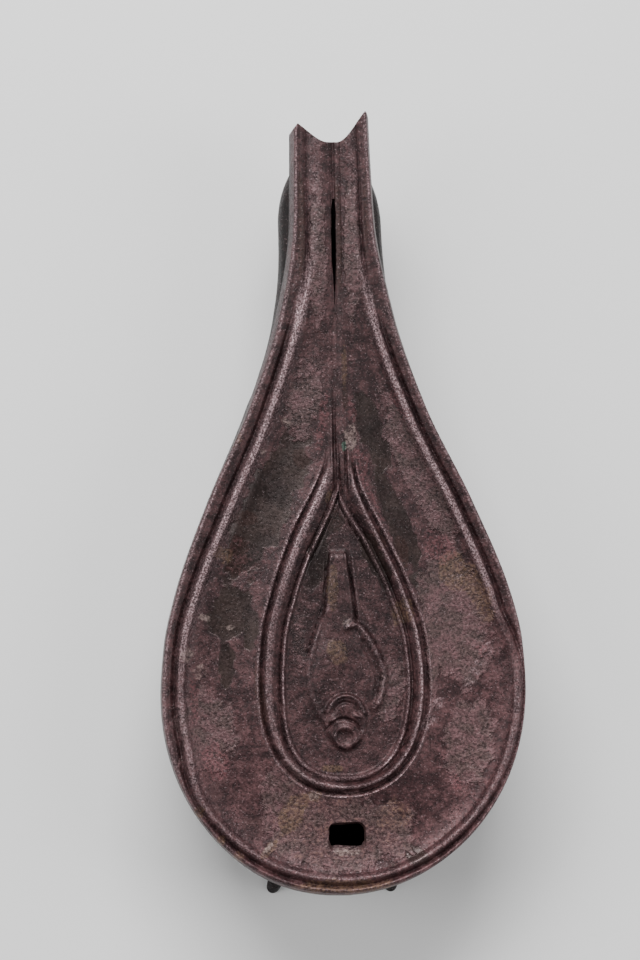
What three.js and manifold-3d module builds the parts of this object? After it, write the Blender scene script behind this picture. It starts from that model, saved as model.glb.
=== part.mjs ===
// A closed bronze oil lamp, cast in one piece, in the shape of a long drop.
// Lengths are in millimetres. The spout points along +Y, the cover faces +Z, and the feet stand on z = 0.
// While it is drawn, y = 0 is the widest line of the lamp and z = 0 is the level of the cover.

import * as THREE from "three";
import Module from "manifold-3d";

// Outline of the cover
const backLength = 50.9; // from the widest line to the round end
const widestHalf = 46.1; // half of the greatest width
const backFullness = 2.03; // above 2 makes the round end fuller than an ellipse
const drawnEnd = 152; // the neck is drawn to here, then cut to the fishtail
const flankStations = [ // distance from the widest line, half width there
  [0, widestHalf],
  [12, 45.3],
  [24, 42.65],
  [48, 33.55],
  [72, 22.4],
  [96, 14.2],
  [120, 10.1],
  [drawnEnd, 9.2],
];
const leanStations = [ // how far the edge lies to the right of a mirror-even outline
  [-52, -1.0],
  [-42, -0.4],
  [-28, 0],
  [-10, 0.35],
  [20, 0.75],
  [48, 0.3],
  [66, 0.05],
  [100, 0],
  [125, -0.5],
  [drawnEnd, -0.8],
];

// Fishtail at the end of the neck
const notchY = 139.8;
const notchX = 0.3;
const leftHorn = { rise: 4.9, flat: 1.6, reach: 9.4 };
const rightHorn = { rise: 8.0, flat: 0.5, reach: 7.9 };
const hornFall = 1.3; // slope of the corner beyond each tip

// Cover slab and its outer moulding
const slabDepth = 4.8;
const neckFlare = 0.9; // how far the slab widens towards its underside
const flankFlare = 0.1;
const roundFlare = 0.5;
const lipHeight = 0.35;
const lipPlace = 0.6;
const coveDepth = 0.75;
const ridgeHeight = 1.35;
const ridgeHalfWidth = 1.5;
const leftRidgeStations = [ // distance of the ridge crest from the edge
  [-51, 3.3],
  [-40, 3.1],
  [-28, 2.6],
  [-12, 4.6],
  [13, 4.3],
  [48, 5.4],
  [90, 4.5],
];
const rightRidgeStations = [
  [-51, 3.3],
  [-42, 3.1],
  [-28, 2.5],
  [-14, 2.1],
  [6, 2.0],
  [22, 4.8],
  [90, 4.8],
];
const fieldDip = 1.4;

// Double ridge round the inner field, a drop with its point towards the spout
const dropWidestY = 2;
const dropHalf = 19.6;
const dropBack = 26.4;
const dropFullness = 2.3; // above 2 makes its round end fuller than an ellipse
const dropStations = [ // the outer crest: distance from the widest line, half width there
  [dropWidestY, dropHalf],
  [13, 18.8],
  [25, 15.6],
  [38, 10.4],
  [45, 7.1],
  [49, 5.3],
  [53, 3.8],
  [58, 2.6],
  [68, 2.0],
  [drawnEnd, 2.0],
];
const dropMiddleStations = [ // where its middle lies across the lamp
  [-25, 0.3],
  [4, 0.5],
  [25, 0],
  [42, -0.6],
  [50, -0.5],
  [62, 0.6],
  [drawnEnd, 0.6],
];
const gap = { round: 2.3, left: 4.2, right: 3.1, leftTip: 0.5, rightTip: 0.9 }; // between its two crests
const outerCrestHeight = 1.45;
const outerCrestHalf = 1.4;
const innerCrestHeight = 0.95;
const innerCrestHalf = 1.0;
const lineHeight = 0.5; // a thin line outside the outer crest
const linePlace = 2.6;
const lineCloses = 0.3; // share by which it nears the crest at the point
const grooveDepth = 0.45;
const groovePlace = 1.55;
const collarHeight = 0.45;
const collarEnd = 5.2;
const betweenFall = 0.75;
const innerFieldFall = 0.85;

// Rib and lobes of the neck
const ribX = 1.2;
const ribHalfWidth = 1.9;
const ribHeight = 0.8;
const lobeHeight = 0.95;
const leftLobeStart = -0.9;
const rightLobeStart = 1.5;
const rimGrooveLow = 4.5; // distance of the groove beside each lobe from the edge, where the neck begins
const rimGrooveHigh = 2.9; // and at the fishtail

// Relief in the inner field: an upright stem, a round body with a raised band, and a boss
const stem = { x: -0.1, half: 2.7, spread: 0.08, from: 8, to: 35.6, height: 1.35 };
const roundBody = { x: 0.6, y: 4.3, halfX: 10.4, halfY: 14.2, height: 0.95 };
const band = { at: 0.88, half: 0.13, height: 0.7 };
const boss = { x: 0.85, y: -7.6, halfX: 5.7, halfY: 7.3, height: 1.15 };

// Bowl and nozzle below the slab
const neckSwell = 0.9; // how far the nozzle stands out beyond the cover
const neckTubeHalf = 13;
const tubeBlend = 1.2;
const noseStartY = 119.5;
const noseLength = 20.2;
const bowlDepth = 32;
const neckRise = 7;
const footLevel = 36;
const bowlProfile = [ // share of the width, share of the depth
  [0.998, 0.13],
  [0.985, 0.3],
  [0.96, 0.48],
  [0.918, 0.66],
  [0.85, 0.82],
  [0.75, 0.93],
  [0.62, 0.985],
  [0.47, 1],
  [0.24, 1],
  [0, 1],
];
const tubeProfile = [
  [0.7, 0.03],
  [0.92, 0.13],
  [1.0, 0.28],
  [0.98, 0.46],
  [0.9, 0.63],
  [0.77, 0.78],
  [0.6, 0.9],
  [0.42, 0.97],
  [0.2, 1],
  [0, 1],
];

// Openings and wall
const wall = 2.4;
const ceiling = 3.5; // cover thickness over the reservoir
const hole = { x: 0.8, y: -36.1, long: 8.6, wide: 5.3, round: 1.4 };
const holeBorder = { long: 10.8, wide: 8.4, round: 2.2, level: -1.55 };
const slit = { fromY: 96, toY: 125.2, x: -0.3, narrow: 0.5, broad: 1.25 };
const mouth = { radius: 4.5, z: -13.5, fromY: 126, toY: 146 };

// Feet: two splayed heels and one small foot under the root of the neck
const heel = { x: 15.3, away: -0.3, y: -48.9, radius: 1.7, topX: 12.4, topY: -40, topZ: -26, topRadius: 3.8 };
const frontFoot = { y: 62, radius: 2.4, topRadius: 4, topZ: -28.5 };

// Fineness of the facets
const roundColumns = 20;
const flankColumns = 30;
const noseColumns = 5; // on each side of the middle
const fieldRings = 3;
const innerRings = 6;

const clamp01 = (t) => Math.min(1, Math.max(0, t));

function smooth(from, to, t) {
  const u = clamp01((t - from) / (to - from));
  return u * u * (3 - 2 * u);
}

const mix = (a, b, t) => a + (b - a) * t;

// A round hump: 1 in the middle, 0 at one half width and beyond.
function hump(t) {
  const u = Math.abs(t);
  return u >= 1 ? 0 : (1 - u * u) ** 2;
}

// A smooth curve through the stations that never overshoots them, level at its start.
function curveThrough(stations) {
  const n = stations.length;
  const rise = [];
  for (let i = 0; i < n - 1; i++) {
    rise.push((stations[i + 1][1] - stations[i][1]) / (stations[i + 1][0] - stations[i][0]));
  }
  const slope = [0];
  for (let i = 1; i < n - 1; i++) {
    const sameSign = rise[i - 1] * rise[i] > 0;
    slope.push(sameSign ? (2 * rise[i - 1] * rise[i]) / (rise[i - 1] + rise[i]) : 0);
  }
  slope.push(rise[n - 2] * 0.5);
  return (t) => {
    let i = 0;
    while (i < n - 2 && t > stations[i + 1][0]) i++;
    const width = stations[i + 1][0] - stations[i][0];
    const u = clamp01((t - stations[i][0]) / width);
    const a = (2 * u ** 3 - 3 * u ** 2 + 1) * stations[i][1];
    const b = (u ** 3 - 2 * u ** 2 + u) * width * slope[i];
    const c = (3 * u ** 2 - 2 * u ** 3) * stations[i + 1][1];
    const d = (u ** 3 - u ** 2) * width * slope[i + 1];
    return a + b + c + d;
  };
}

const flankHalf = curveThrough(flankStations);
const dropFlankHalf = curveThrough(dropStations);
const dropMiddle = curveThrough(dropMiddleStations);
const leanAt = curveThrough(leanStations);
const leftRidge = curveThrough(leftRidgeStations);
const rightRidge = curveThrough(rightRidgeStations);

function coverHalf(y) {
  if (y >= 0) return flankHalf(y);
  const share = Math.min(1, -y / backLength);
  return widestHalf * (1 - share ** backFullness) ** (1 / backFullness);
}

// Half width of the double ridge's outer crest; negative behind its round end.
function dropHalfAt(y) {
  if (y >= dropWidestY) return dropFlankHalf(y);
  const u = (dropWidestY - y) / dropBack;
  return u > 1 ? -1 : dropHalf * (1 - u ** dropFullness) ** (1 / dropFullness);
}

// The lean fades out towards the middle of the cover.
function leaned([x, y, z]) {
  const half = Math.max(4, coverHalf(y));
  return [x + leanAt(y) * smooth(0.35, 0.85, Math.abs(x) / half), y, z];
}

// A column starts at a point of the cover's edge and runs about square to the edge as far as the middle line.
function columnAt(edgeX, y) {
  const step = 0.01;
  let middleY = (y * (backLength ** 2 - widestHalf ** 2)) / backLength ** 2;
  if (y >= 0) {
    const slope = (coverHalf(y + step) - coverHalf(y - step)) / (2 * step);
    middleY = y + coverHalf(y) * (y < step ? 0 : slope);
  }
  const length = Math.hypot(edgeX, y - middleY);
  return {
    side: Math.sign(edgeX),
    edge: [edgeX, y],
    middle: [0, middleY],
    outward: [edgeX / length, (y - middleY) / length],
    length,
  };
}

// Distance from the edge, along a column, at which it meets the double ridge's outer crest.
function dropCrossing(column) {
  let inside = column.length;
  let outside = 0;
  for (let i = 0; i < 40; i++) {
    const d = (inside + outside) / 2;
    const x = column.edge[0] - column.outward[0] * d;
    const y = column.edge[1] - column.outward[1] * d;
    if (Math.abs(x - dropMiddle(y)) < dropHalfAt(y)) inside = d;
    else outside = d;
  }
  return (inside + outside) / 2;
}

const ridgePlace = (x, y) => mix(leftRidge(y), rightRidge(y), smooth(-2, 2, x));

// From the outer crest of the double ridge to the inner one.
function innerGap(x, y) {
  const left = mix(gap.round, gap.left, smooth(-24, 0, y)) + gap.leftTip * smooth(30, 44, y);
  const right = mix(gap.round, gap.right, smooth(-24, -5, y)) + gap.rightTip * smooth(36, 48, y);
  return mix(left, right, smooth(-6, 6, x));
}

// The thin line outside the double ridge closes up to it near the point of the drop.
const closing = (y) => 1 - lineCloses * smooth(40, 56, y);

// Height of the double ridge, from the thin line outside it to the inner field. e is the distance inside its crest.
function doubleRidge(x, y, e) {
  const between = innerGap(x, y);
  const line = linePlace * closing(y);
  let z = collarHeight * smooth(-collarEnd, -line, e);
  z += lineHeight * hump((e + line) / 0.9);
  z -= grooveDepth * hump((e + groovePlace * closing(y)) / 0.6);
  z += outerCrestHeight * hump(e < 0 ? e / outerCrestHalf : e / (between * 0.85));
  z -= betweenFall * smooth(0.3, between - 0.9, e);
  z += innerCrestHeight * hump((e - between) / innerCrestHalf);
  z -= innerFieldFall * smooth(between - 0.2, between + 1.3, e);
  return z;
}

function reliefHeight(x, y) {
  const bodyRadius = Math.hypot((x - roundBody.x) / roundBody.halfX, (y - roundBody.y) / roundBody.halfY);
  let z = roundBody.height * (1 - smooth(0.86, 1.04, bodyRadius));
  const bandShape = hump((bodyRadius - band.at) / band.half);
  const turn = Math.atan2((y - roundBody.y) / roundBody.halfY, (x - roundBody.x) / roundBody.halfX);
  z += band.height * bandShape * smooth(-1.05, -0.7, turn) * (1 - smooth(1.4, 1.8, turn));
  const stemHalf = stem.half + stem.spread * (stem.to - y);
  const stemSide = 1 - smooth(0.55, 1.05, Math.abs(x - stem.x) / stemHalf);
  const stemRun = smooth(stem.from - 6, stem.from + 4, y) * (1 - smooth(stem.to - 1.6, stem.to, y));
  z = Math.max(z, stem.height * stemSide * stemRun);
  const bossRadius = Math.hypot((x - boss.x) / boss.halfX, (y - boss.y) / boss.halfY);
  z += boss.height * (1 - smooth(0.7, 1.1, bossRadius));
  return z;
}

const rimGrooveAt = (y) => mix(rimGrooveLow, rimGrooveHigh, smooth(98, 134, y));

// A lobe rises between two lines that run along the neck.
function lobe(x, from, to) {
  const side = (2 * x - from - to) / (to - from);
  return lobeHeight * Math.sqrt(Math.max(0, 1 - side ** 2));
}

function neckHeight(x, y, d) {
  const groove = rimGrooveAt(y);
  const lobeEnd = coverHalf(y) - groove;
  let z = -0.25;
  z += 0.35 * (1 - smooth(groove - 0.9, groove, d));
  z -= 0.35 * hump((d - groove) / 0.8);
  z += lobe(x, -lobeEnd, leftLobeStart);
  z += lobe(x, rightLobeStart, lobeEnd);
  return z;
}

// Height of the cover. d is the distance from the edge, e the distance inside the double ridge's outer crest.
function coverHeight(x, y, d, e) {
  const crest = ridgePlace(x, y);
  let z = lipHeight * hump((d - lipPlace) / 0.9);
  z -= coveDepth * hump((d - (lipPlace + crest) / 2) / ((crest - lipPlace) / 2));
  z += ridgeHeight * hump((d - crest) / ridgeHalfWidth);
  const fieldStart = crest + ridgeHalfWidth * 0.6;
  const fieldShare = clamp01((d - fieldStart) / Math.max(1, d - e - 3.2 - fieldStart));
  const open = 1 - smooth(60, 96, y);
  z -= fieldDip * (0.45 + 0.55 * open) * Math.sin(Math.PI * Math.sqrt(fieldShare)) ** 0.8;
  z -= 0.25 * smooth(0, 0.3, fieldShare);
  const strand = 1 - smooth(50, 64, y);
  z += strand * doubleRidge(x, y, e);
  z += ribHeight * smooth(50, 66, y) * hump((x - ribX) / ribHalfWidth);
  z -= 0.35 * smooth(48, 62, y) * hump((x + 0.9) / 1.1);
  const between = innerGap(x, y);
  z += strand * smooth(between + 0.4, between + 1.8, e) * reliefHeight(x, y);
  return mix(z, neckHeight(x, y, d), smooth(84, 108, y));
}

// Distances from the edge at which the facets of one column break, from the middle line outwards.
function ringPlaces(column) {
  const crossing = dropCrossing(column);
  const crest = ridgePlace(column.edge[0], column.edge[1]);
  const rest = column.length - crossing;
  const between = innerGap(column.edge[0], column.edge[1] - column.outward[1] * crossing);
  const shrink = Math.min(1, rest / (between + 2.6));
  const places = [0];
  const inner = rest - (between + 1.3) * shrink;
  for (let i = 1; i <= innerRings; i++) places.push((inner * i) / innerRings);
  places.push(rest - between * shrink, rest - between * 0.6 * shrink, rest);
  const outerRoom = crossing - crest - ridgeHalfWidth;
  const spread = Math.min(1, outerRoom / 7);
  const near = spread * closing(column.edge[1] - column.outward[1] * crossing);
  places.push(rest + groovePlace * near, rest + linePlace * near, rest + collarEnd * spread);
  const fieldFrom = rest + collarEnd * spread;
  const fieldTo = column.length - crest - ridgeHalfWidth * Math.min(1, spread + 0.3);
  for (let i = 1; i <= fieldRings; i++) places.push(mix(fieldFrom, fieldTo, i / fieldRings));
  places.push(column.length - crest);
  places.push(column.length - crest + ridgeHalfWidth * 0.85);
  places.push(column.length - lipPlace * 2.2);
  places.push(column.length - lipPlace);
  places.push(column.length);
  const neckness = smooth(84, 104, column.edge[1]);
  return places.map((s, i) => column.length - mix(s, neckPlace(i, places.length, column), neckness));
}

// Where the facets break across the neck: evenly over the lobe, then at the groove, the rim and the lip.
function neckPlace(i, count, column) {
  const groove = rimGrooveAt(column.edge[1]);
  const rim = [groove, groove * 0.8, groove * 0.62, groove * 0.45, 0.9, lipPlace, 0];
  const lobeBreaks = count - rim.length - 1;
  if (i > lobeBreaks) return column.length - rim[i - lobeBreaks - 1];
  return ((column.length - groove - 0.5) * i) / lobeBreaks;
}

const swellAt = (y) => neckSwell * smooth(45, 88, y);

function tubeHalf(y) {
  const over = coverHalf(y) + swellAt(y) - neckTubeHalf;
  return neckTubeHalf + tubeBlend * Math.log(1 + Math.exp(over / tubeBlend));
}

const bottomLevel = (y) => -bowlDepth + neckRise * smooth(45, 130, y);

// The widest point of the bowl below a column, and the point of the middle line it is measured from.
function bowlReach(column, noseAngle) {
  if (noseAngle !== null) {
    const side = column.side || 0;
    const x = side * tubeHalf(noseStartY) * Math.cos(noseAngle);
    const y = noseStartY + noseLength * Math.sin(noseAngle);
    return { from: [0, noseStartY], to: [x, y] };
  }
  const y = column.edge[1];
  const more = y < 0 ? 0 : tubeHalf(y) - coverHalf(y);
  const to = [column.edge[0] + column.outward[0] * more, y + column.outward[1] * more];
  return { from: column.middle, to };
}

// Columns in order from the round end up the right side, round the nose and down the left side.
function makeColumns(roundCount, flankCount, noseCount) {
  const half = [];
  for (let i = 0; i < roundCount; i++) {
    const y = -backLength * Math.cos((Math.PI / 2) * (i / roundCount));
    half.push([coverHalf(y), y]);
  }
  for (let i = 0; i <= flankCount; i++) {
    const y = drawnEnd * (i / flankCount) ** 1.05;
    half.push([coverHalf(y), y]);
  }
  const beyond = half.filter((p) => p[1] > noseStartY).length;
  const turns = beyond + noseCount;
  const columns = [];
  const sideColumns = (side) =>
    half.map((p, i) => {
      const column = columnAt(side * p[0], p[1]);
      const turn = i - (half.length - beyond) + 1;
      const noseAngle = turn > 0 ? (Math.PI / 2) * (turn / turns) : null;
      column.bowl = bowlReach(column, noseAngle);
      column.covered = true;
      return column;
    });
  const endColumns = (side) => {
    const list = [];
    for (let i = 1; i <= noseCount; i++) {
      const x = side * coverHalf(drawnEnd) * (1 - i / noseCount);
      const column = { side, edge: [x, drawnEnd], outward: [0, 1], covered: false };
      column.bowl = bowlReach(column, (Math.PI / 2) * ((beyond + i) / turns));
      if (i === noseCount) column.bowl.to[0] = 0;
      list.push(column);
    }
    return list;
  };
  const left = sideColumns(-1);
  const leftEnd = endColumns(-1);
  columns.push(...sideColumns(1), ...endColumns(1));
  columns.push(...leftEnd.slice(0, -1).reverse(), ...left.slice(1).reverse());
  return columns;
}

// Gathers triangles, giving equal points one number.
class Shell {
  constructor() {
    this.numbers = new Map();
    this.points = [];
    this.faces = [];
  }
  point(p) {
    const key = p.map((v) => Math.round(v * 2000)).join(" ");
    if (!this.numbers.has(key)) {
      this.numbers.set(key, this.points.length);
      this.points.push(p);
    }
    return this.numbers.get(key);
  }
  triangle(a, b, c) {
    const face = [this.point(a), this.point(b), this.point(c)];
    if (face[0] === face[1] || face[1] === face[2] || face[0] === face[2]) return;
    this.faces.push(...face);
  }
  quad(a, b, c, d) {
    this.triangle(a, b, c);
    this.triangle(a, c, d);
  }
  solid(leans = false) {
    const places = leans ? this.points.map(leaned) : this.points;
    const made = new wasm.Manifold(
      new wasm.Mesh({
        numProp: 3,
        vertProperties: new Float32Array(places.flat()),
        triVerts: new Uint32Array(this.faces),
      }),
    );
    if (made.volume() < 0) throw new Error("a shell faces inwards");
    return made;
  }
}

function coverRings(column) {
  const places = ringPlaces(column);
  const crossing = dropCrossing(column);
  // The two sides share their points on the middle line, so those take the right side's height.
  const shared = dropCrossing(columnAt(Math.abs(column.edge[0]), column.edge[1]));
  return places.map((d, i) => {
    const x = i === 0 ? 0 : column.edge[0] - column.outward[0] * d;
    const y = i === 0 ? column.middle[1] : column.edge[1] - column.outward[1] * d;
    return [x, y, coverHeight(x, y, d, d - (i === 0 ? shared : crossing))];
  });
}

function flareAt(y) {
  return mix(mix(roundFlare, flankFlare, smooth(-50, -36, y)), neckFlare, smooth(60, 92, y));
}

function slabFoot(column) {
  const flare = column.covered ? flareAt(column.edge[1]) : 0;
  const x = column.edge[0] + column.outward[0] * flare;
  const y = Math.min(drawnEnd, column.edge[1] + column.outward[1] * flare);
  return [x, y, -slabDepth];
}

function slabMiddle(column) {
  const flare = flareAt(column.edge[1]) * 0.6;
  const x = column.edge[0] + column.outward[0] * flare;
  const y = Math.min(drawnEnd, column.edge[1] + column.outward[1] * flare);
  return [x, y, -slabDepth * 0.45];
}

// Rings of the bowl or, with a wall, of the reservoir inside it.
function bowlRings(column, thickness) {
  const { from, to } = column.bowl;
  const reach = Math.hypot(to[0] - from[0], to[1] - from[1]);
  const share = (reach - thickness) / reach;
  const isNose = from[1] === noseStartY;
  const tubeness = isNose ? 1 : smooth(72, 104, column.edge[1]);
  return bowlProfile.map((wide, i) => {
    const tube = tubeProfile[i];
    const f = mix(wide[0], tube[0], tubeness) * share;
    const g = mix(wide[1], tube[1], tubeness);
    const x = from[0] + (to[0] - from[0]) * f;
    const y = from[1] + (to[1] - from[1]) * f;
    const top = thickness > 0 ? -ceiling - 0.8 : -slabDepth;
    return [x, y, mix(top, bottomLevel(y) + thickness, g)];
  });
}

function outerShell() {
  const shell = new Shell();
  const columns = makeColumns(roundColumns, flankColumns, noseColumns);
  const count = columns.length;
  const lines = columns.map((column) => {
    const upper = column.covered ? [...coverRings(column), slabMiddle(column)] : [];
    return { column, upper, lower: [slabFoot(column), ...bowlRings(column, 0)] };
  });
  for (let i = 0; i < count; i++) {
    const a = lines[i];
    const b = lines[(i + 1) % count];
    if (a.column.covered && b.column.covered) {
      const up = [...a.upper, a.lower[0]];
      const vp = [...b.upper, b.lower[0]];
      for (let k = 0; k < up.length - 1; k++) shell.quad(up[k], up[k + 1], vp[k + 1], vp[k]);
    } else {
      shell.triangle([0, drawnEnd, -2], a.lower[0], b.lower[0]);
    }
    for (let k = 0; k < a.lower.length - 1; k++) {
      shell.quad(a.lower[k], a.lower[k + 1], b.lower[k + 1], b.lower[k]);
    }
  }
  const corners = lines.filter((line) => line.column.covered && line.column.edge[1] === drawnEnd);
  corners.forEach((line) => {
    const chain = [...line.upper, line.lower[0]];
    for (let k = 0; k < chain.length - 1; k++) {
      const ends = line.column.side > 0 ? [chain[k], chain[k + 1]] : [chain[k + 1], chain[k]];
      shell.triangle([0, drawnEnd, -2], ends[0], ends[1]);
    }
  });
  return shell.solid(true);
}

function reservoir() {
  const shell = new Shell();
  const columns = makeColumns(10, 16, 3);
  const count = columns.length;
  const lines = columns.map((column) => {
    const { from, to } = column.bowl;
    const reach = Math.hypot(to[0] - from[0], to[1] - from[1]);
    const tubeness = from[1] === noseStartY ? 1 : smooth(72, 104, column.edge[1]);
    const inset = mix(wall + 1.2, wall + 4, tubeness);
    const f = (reach - inset) / reach;
    const x = from[0] + (to[0] - from[0]) * f;
    const y = from[1] + (to[1] - from[1]) * f;
    return [[from[0], from[1], -ceiling], [x, y, -ceiling], ...bowlRings(column, wall)];
  });
  for (let i = 0; i < count; i++) {
    const a = lines[i];
    const b = lines[(i + 1) % count];
    for (let k = 0; k < a.length - 1; k++) shell.quad(a[k], a[k + 1], b[k + 1], b[k]);
  }
  return shell.solid(true);
}

// A prism standing on an outline that runs anticlockwise, seen from above.
function prism(outline, low, high) {
  const shell = new Shell();
  const triangles = THREE.ShapeUtils.triangulateShape(outline.map((p) => new THREE.Vector2(...p)), []);
  triangles.forEach(([a, b, c]) => {
    shell.triangle([...outline[a], high], [...outline[b], high], [...outline[c], high]);
    shell.triangle([...outline[c], low], [...outline[b], low], [...outline[a], low]);
  });
  outline.forEach((p, i) => {
    const q = outline[(i + 1) % outline.length];
    shell.quad([...p, low], [...q, low], [...q, high], [...p, high]);
  });
  return shell.solid();
}

function roundedRectangle(x, y, long, wide, round) {
  const points = [];
  const corners = [[1, 1], [-1, 1], [-1, -1], [1, -1]];
  corners.forEach(([sx, sy], quarter) => {
    for (let i = 0; i <= 3; i++) {
      const angle = (Math.PI / 2) * (quarter + i / 3);
      const cx = x + sx * (long / 2 - round);
      const cy = y + sy * (wide / 2 - round);
      points.push([cx + round * Math.cos(angle), cy + round * Math.sin(angle)]);
    }
  });
  return points;
}

// The end of the neck rises from the notch to a horn's tip on each side and falls again beyond it.
function fishtailEdge(x) {
  const horn = x < notchX ? leftHorn : rightHorn;
  const away = Math.abs(x - notchX);
  const t = clamp01((away - horn.flat) / (horn.reach - horn.flat));
  return notchY + horn.rise * t * t * (1.9 - 0.9 * t) - hornFall * Math.max(0, away - horn.reach);
}

function fishtailCutter() {
  const reach = 13;
  const outline = [[-reach, fishtailEdge(-reach)]];
  const steps = 20;
  for (let i = 0; i <= steps; i++) {
    const x = mix(notchX - leftHorn.reach, notchX + rightHorn.reach, i / steps);
    outline.push([x, fishtailEdge(x)]);
  }
  outline.push([reach, fishtailEdge(reach)], [reach, drawnEnd + 6], [-reach, drawnEnd + 6]);
  return prism(outline, -footLevel - 5, 10);
}

// A tapered leg between two round ends, the lower one level.
function leg(low, lowRadius, top, topRadius) {
  const shell = new Shell();
  const sides = 10;
  const ring = (centre, radius) => {
    const list = [];
    for (let i = 0; i < sides; i++) {
      const angle = (2 * Math.PI * i) / sides;
      list.push([centre[0] + radius * Math.cos(angle), centre[1] + radius * Math.sin(angle), centre[2]]);
    }
    return list;
  };
  const lower = ring(low, lowRadius);
  const upper = ring(top, topRadius);
  for (let i = 0; i < sides; i++) {
    const next = (i + 1) % sides;
    shell.quad(lower[i], lower[next], upper[next], upper[i]);
    shell.triangle(low, lower[next], lower[i]);
    shell.triangle(top, upper[i], upper[next]);
  }
  return shell.solid();
}

function mouthCutter() {
  const shell = new Shell();
  const sides = 20;
  const ring = (y) => {
    const list = [];
    for (let i = 0; i < sides; i++) {
      const angle = (2 * Math.PI * i) / sides;
      list.push([mouth.radius * Math.cos(angle), y, mouth.z + mouth.radius * Math.sin(angle)]);
    }
    return list;
  };
  const near = ring(mouth.fromY);
  const far = ring(mouth.toY);
  for (let i = 0; i < sides; i++) {
    const next = (i + 1) % sides;
    shell.quad(near[next], near[i], far[i], far[next]);
    shell.triangle([0, mouth.fromY, mouth.z], near[i], near[next]);
    shell.triangle([0, mouth.toY, mouth.z], far[next], far[i]);
  }
  return shell.solid();
}

function slitCutter() {
  const outline = [
    [slit.x - slit.narrow / 2, slit.fromY],
    [slit.x + slit.narrow / 2, slit.fromY],
    [slit.x + slit.broad / 2, mix(slit.fromY, slit.toY, 0.5)],
    [slit.x + slit.broad / 2, slit.toY],
    [slit.x - slit.broad / 2, slit.toY],
    [slit.x - slit.broad / 2, mix(slit.fromY, slit.toY, 0.5)],
  ];
  return prism(outline, -ceiling - 2, 4);
}

const wasm = await Module();
wasm.setup();

let body = outerShell();
for (const side of [-1, 1]) {
  const low = [side * heel.x + heel.away, heel.y, -footLevel];
  const top = [side * heel.topX, heel.topY, heel.topZ];
  body = body.add(leg(low, heel.radius, top, heel.topRadius));
}
const frontLow = [0, frontFoot.y, -footLevel];
body = body.add(leg(frontLow, frontFoot.radius, [0, frontFoot.y, frontFoot.topZ], frontFoot.topRadius));
body = body.subtract(fishtailCutter());
body = body.subtract(reservoir());
const holeOutline = roundedRectangle(hole.x, hole.y, hole.long, hole.wide, hole.round);
body = body.subtract(prism(holeOutline, -ceiling - 3, 5));
const { long, wide, round, level } = holeBorder;
body = body.subtract(prism(roundedRectangle(hole.x, hole.y, long, wide, round), level, 5));
body = body.subtract(slitCutter());
body = body.subtract(mouthCutter());

// The finished solid as a three.js mesh, moved so that the middle of its underside is the origin.
function meshOf(solid, name, material) {
  const data = solid.getMesh();
  const stride = data.numProp;
  const places = new Float32Array(data.numVert * 3);
  for (let i = 0; i < data.numVert; i++) {
    places.set(data.vertProperties.subarray(i * stride, i * stride + 3), i * 3);
  }
  const geometry = new THREE.BufferGeometry();
  geometry.setAttribute("position", new THREE.BufferAttribute(places, 3));
  geometry.setIndex(new THREE.BufferAttribute(new Uint32Array(data.triVerts), 1));
  geometry.computeBoundingBox();
  const box = geometry.boundingBox;
  geometry.translate(-(box.min.x + box.max.x) / 2, -(box.min.y + box.max.y) / 2, -box.min.z);
  geometry.computeVertexNormals();
  const mesh = new THREE.Mesh(geometry, material);
  mesh.name = name;
  return mesh;
}

const bronze = new THREE.MeshStandardMaterial({ color: "#5b4640", metalness: 0.85, roughness: 0.55 });
const lamp = new THREE.Group();
lamp.add(meshOf(body, "lamp_body", bronze));
export default lamp;
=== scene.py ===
"""Dresses the bronze oil lamp: fine relief and patina on the cast body, floor, light and camera."""

import bpy
import numpy as np
from mathutils import Matrix, Vector, kdtree, noise


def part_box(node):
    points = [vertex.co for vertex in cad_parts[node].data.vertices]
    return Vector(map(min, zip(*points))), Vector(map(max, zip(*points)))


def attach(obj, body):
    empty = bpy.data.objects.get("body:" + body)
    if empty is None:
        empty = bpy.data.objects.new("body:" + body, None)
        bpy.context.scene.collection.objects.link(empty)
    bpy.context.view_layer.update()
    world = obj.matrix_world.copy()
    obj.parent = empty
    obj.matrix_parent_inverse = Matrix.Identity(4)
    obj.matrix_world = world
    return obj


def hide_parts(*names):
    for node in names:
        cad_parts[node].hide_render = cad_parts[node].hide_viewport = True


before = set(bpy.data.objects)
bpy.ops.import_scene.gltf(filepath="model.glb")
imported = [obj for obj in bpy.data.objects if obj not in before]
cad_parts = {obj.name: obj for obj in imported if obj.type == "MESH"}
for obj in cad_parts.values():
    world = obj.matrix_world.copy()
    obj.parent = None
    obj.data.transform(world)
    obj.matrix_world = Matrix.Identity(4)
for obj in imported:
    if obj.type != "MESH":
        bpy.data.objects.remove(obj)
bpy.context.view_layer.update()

# Lengths are in millimetres while the lamp is drawn: y = 0 on its widest line, z = 0 on its cover.
MM = 0.001
FOOT_LEVEL = 36.0

# Outline of the cover
BACK_LENGTH = 50.9
WIDEST_HALF = 46.1
BACK_FULLNESS = 2.03  # above 2 makes the round end fuller than an ellipse
DRAWN_END = 152.0
FLANK = [
    (0, WIDEST_HALF), (12, 45.3), (24, 42.65), (48, 33.55),
    (72, 22.4), (96, 14.2), (120, 10.1), (DRAWN_END, 9.2),
]
NOTCH_X = 0.3
NOTCH_Y = 139.8
LEFT_HORN = (4.9, 1.6, 9.4)  # rise, flat part, reach
RIGHT_HORN = (8.0, 0.5, 7.9)
HORN_FALL = 1.3  # slope of the corner beyond each tip
SLAB_DEPTH = 4.8
NECK_FLARE = 0.9
FLANK_FLARE = 0.1
ROUND_FLARE = 0.5
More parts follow.
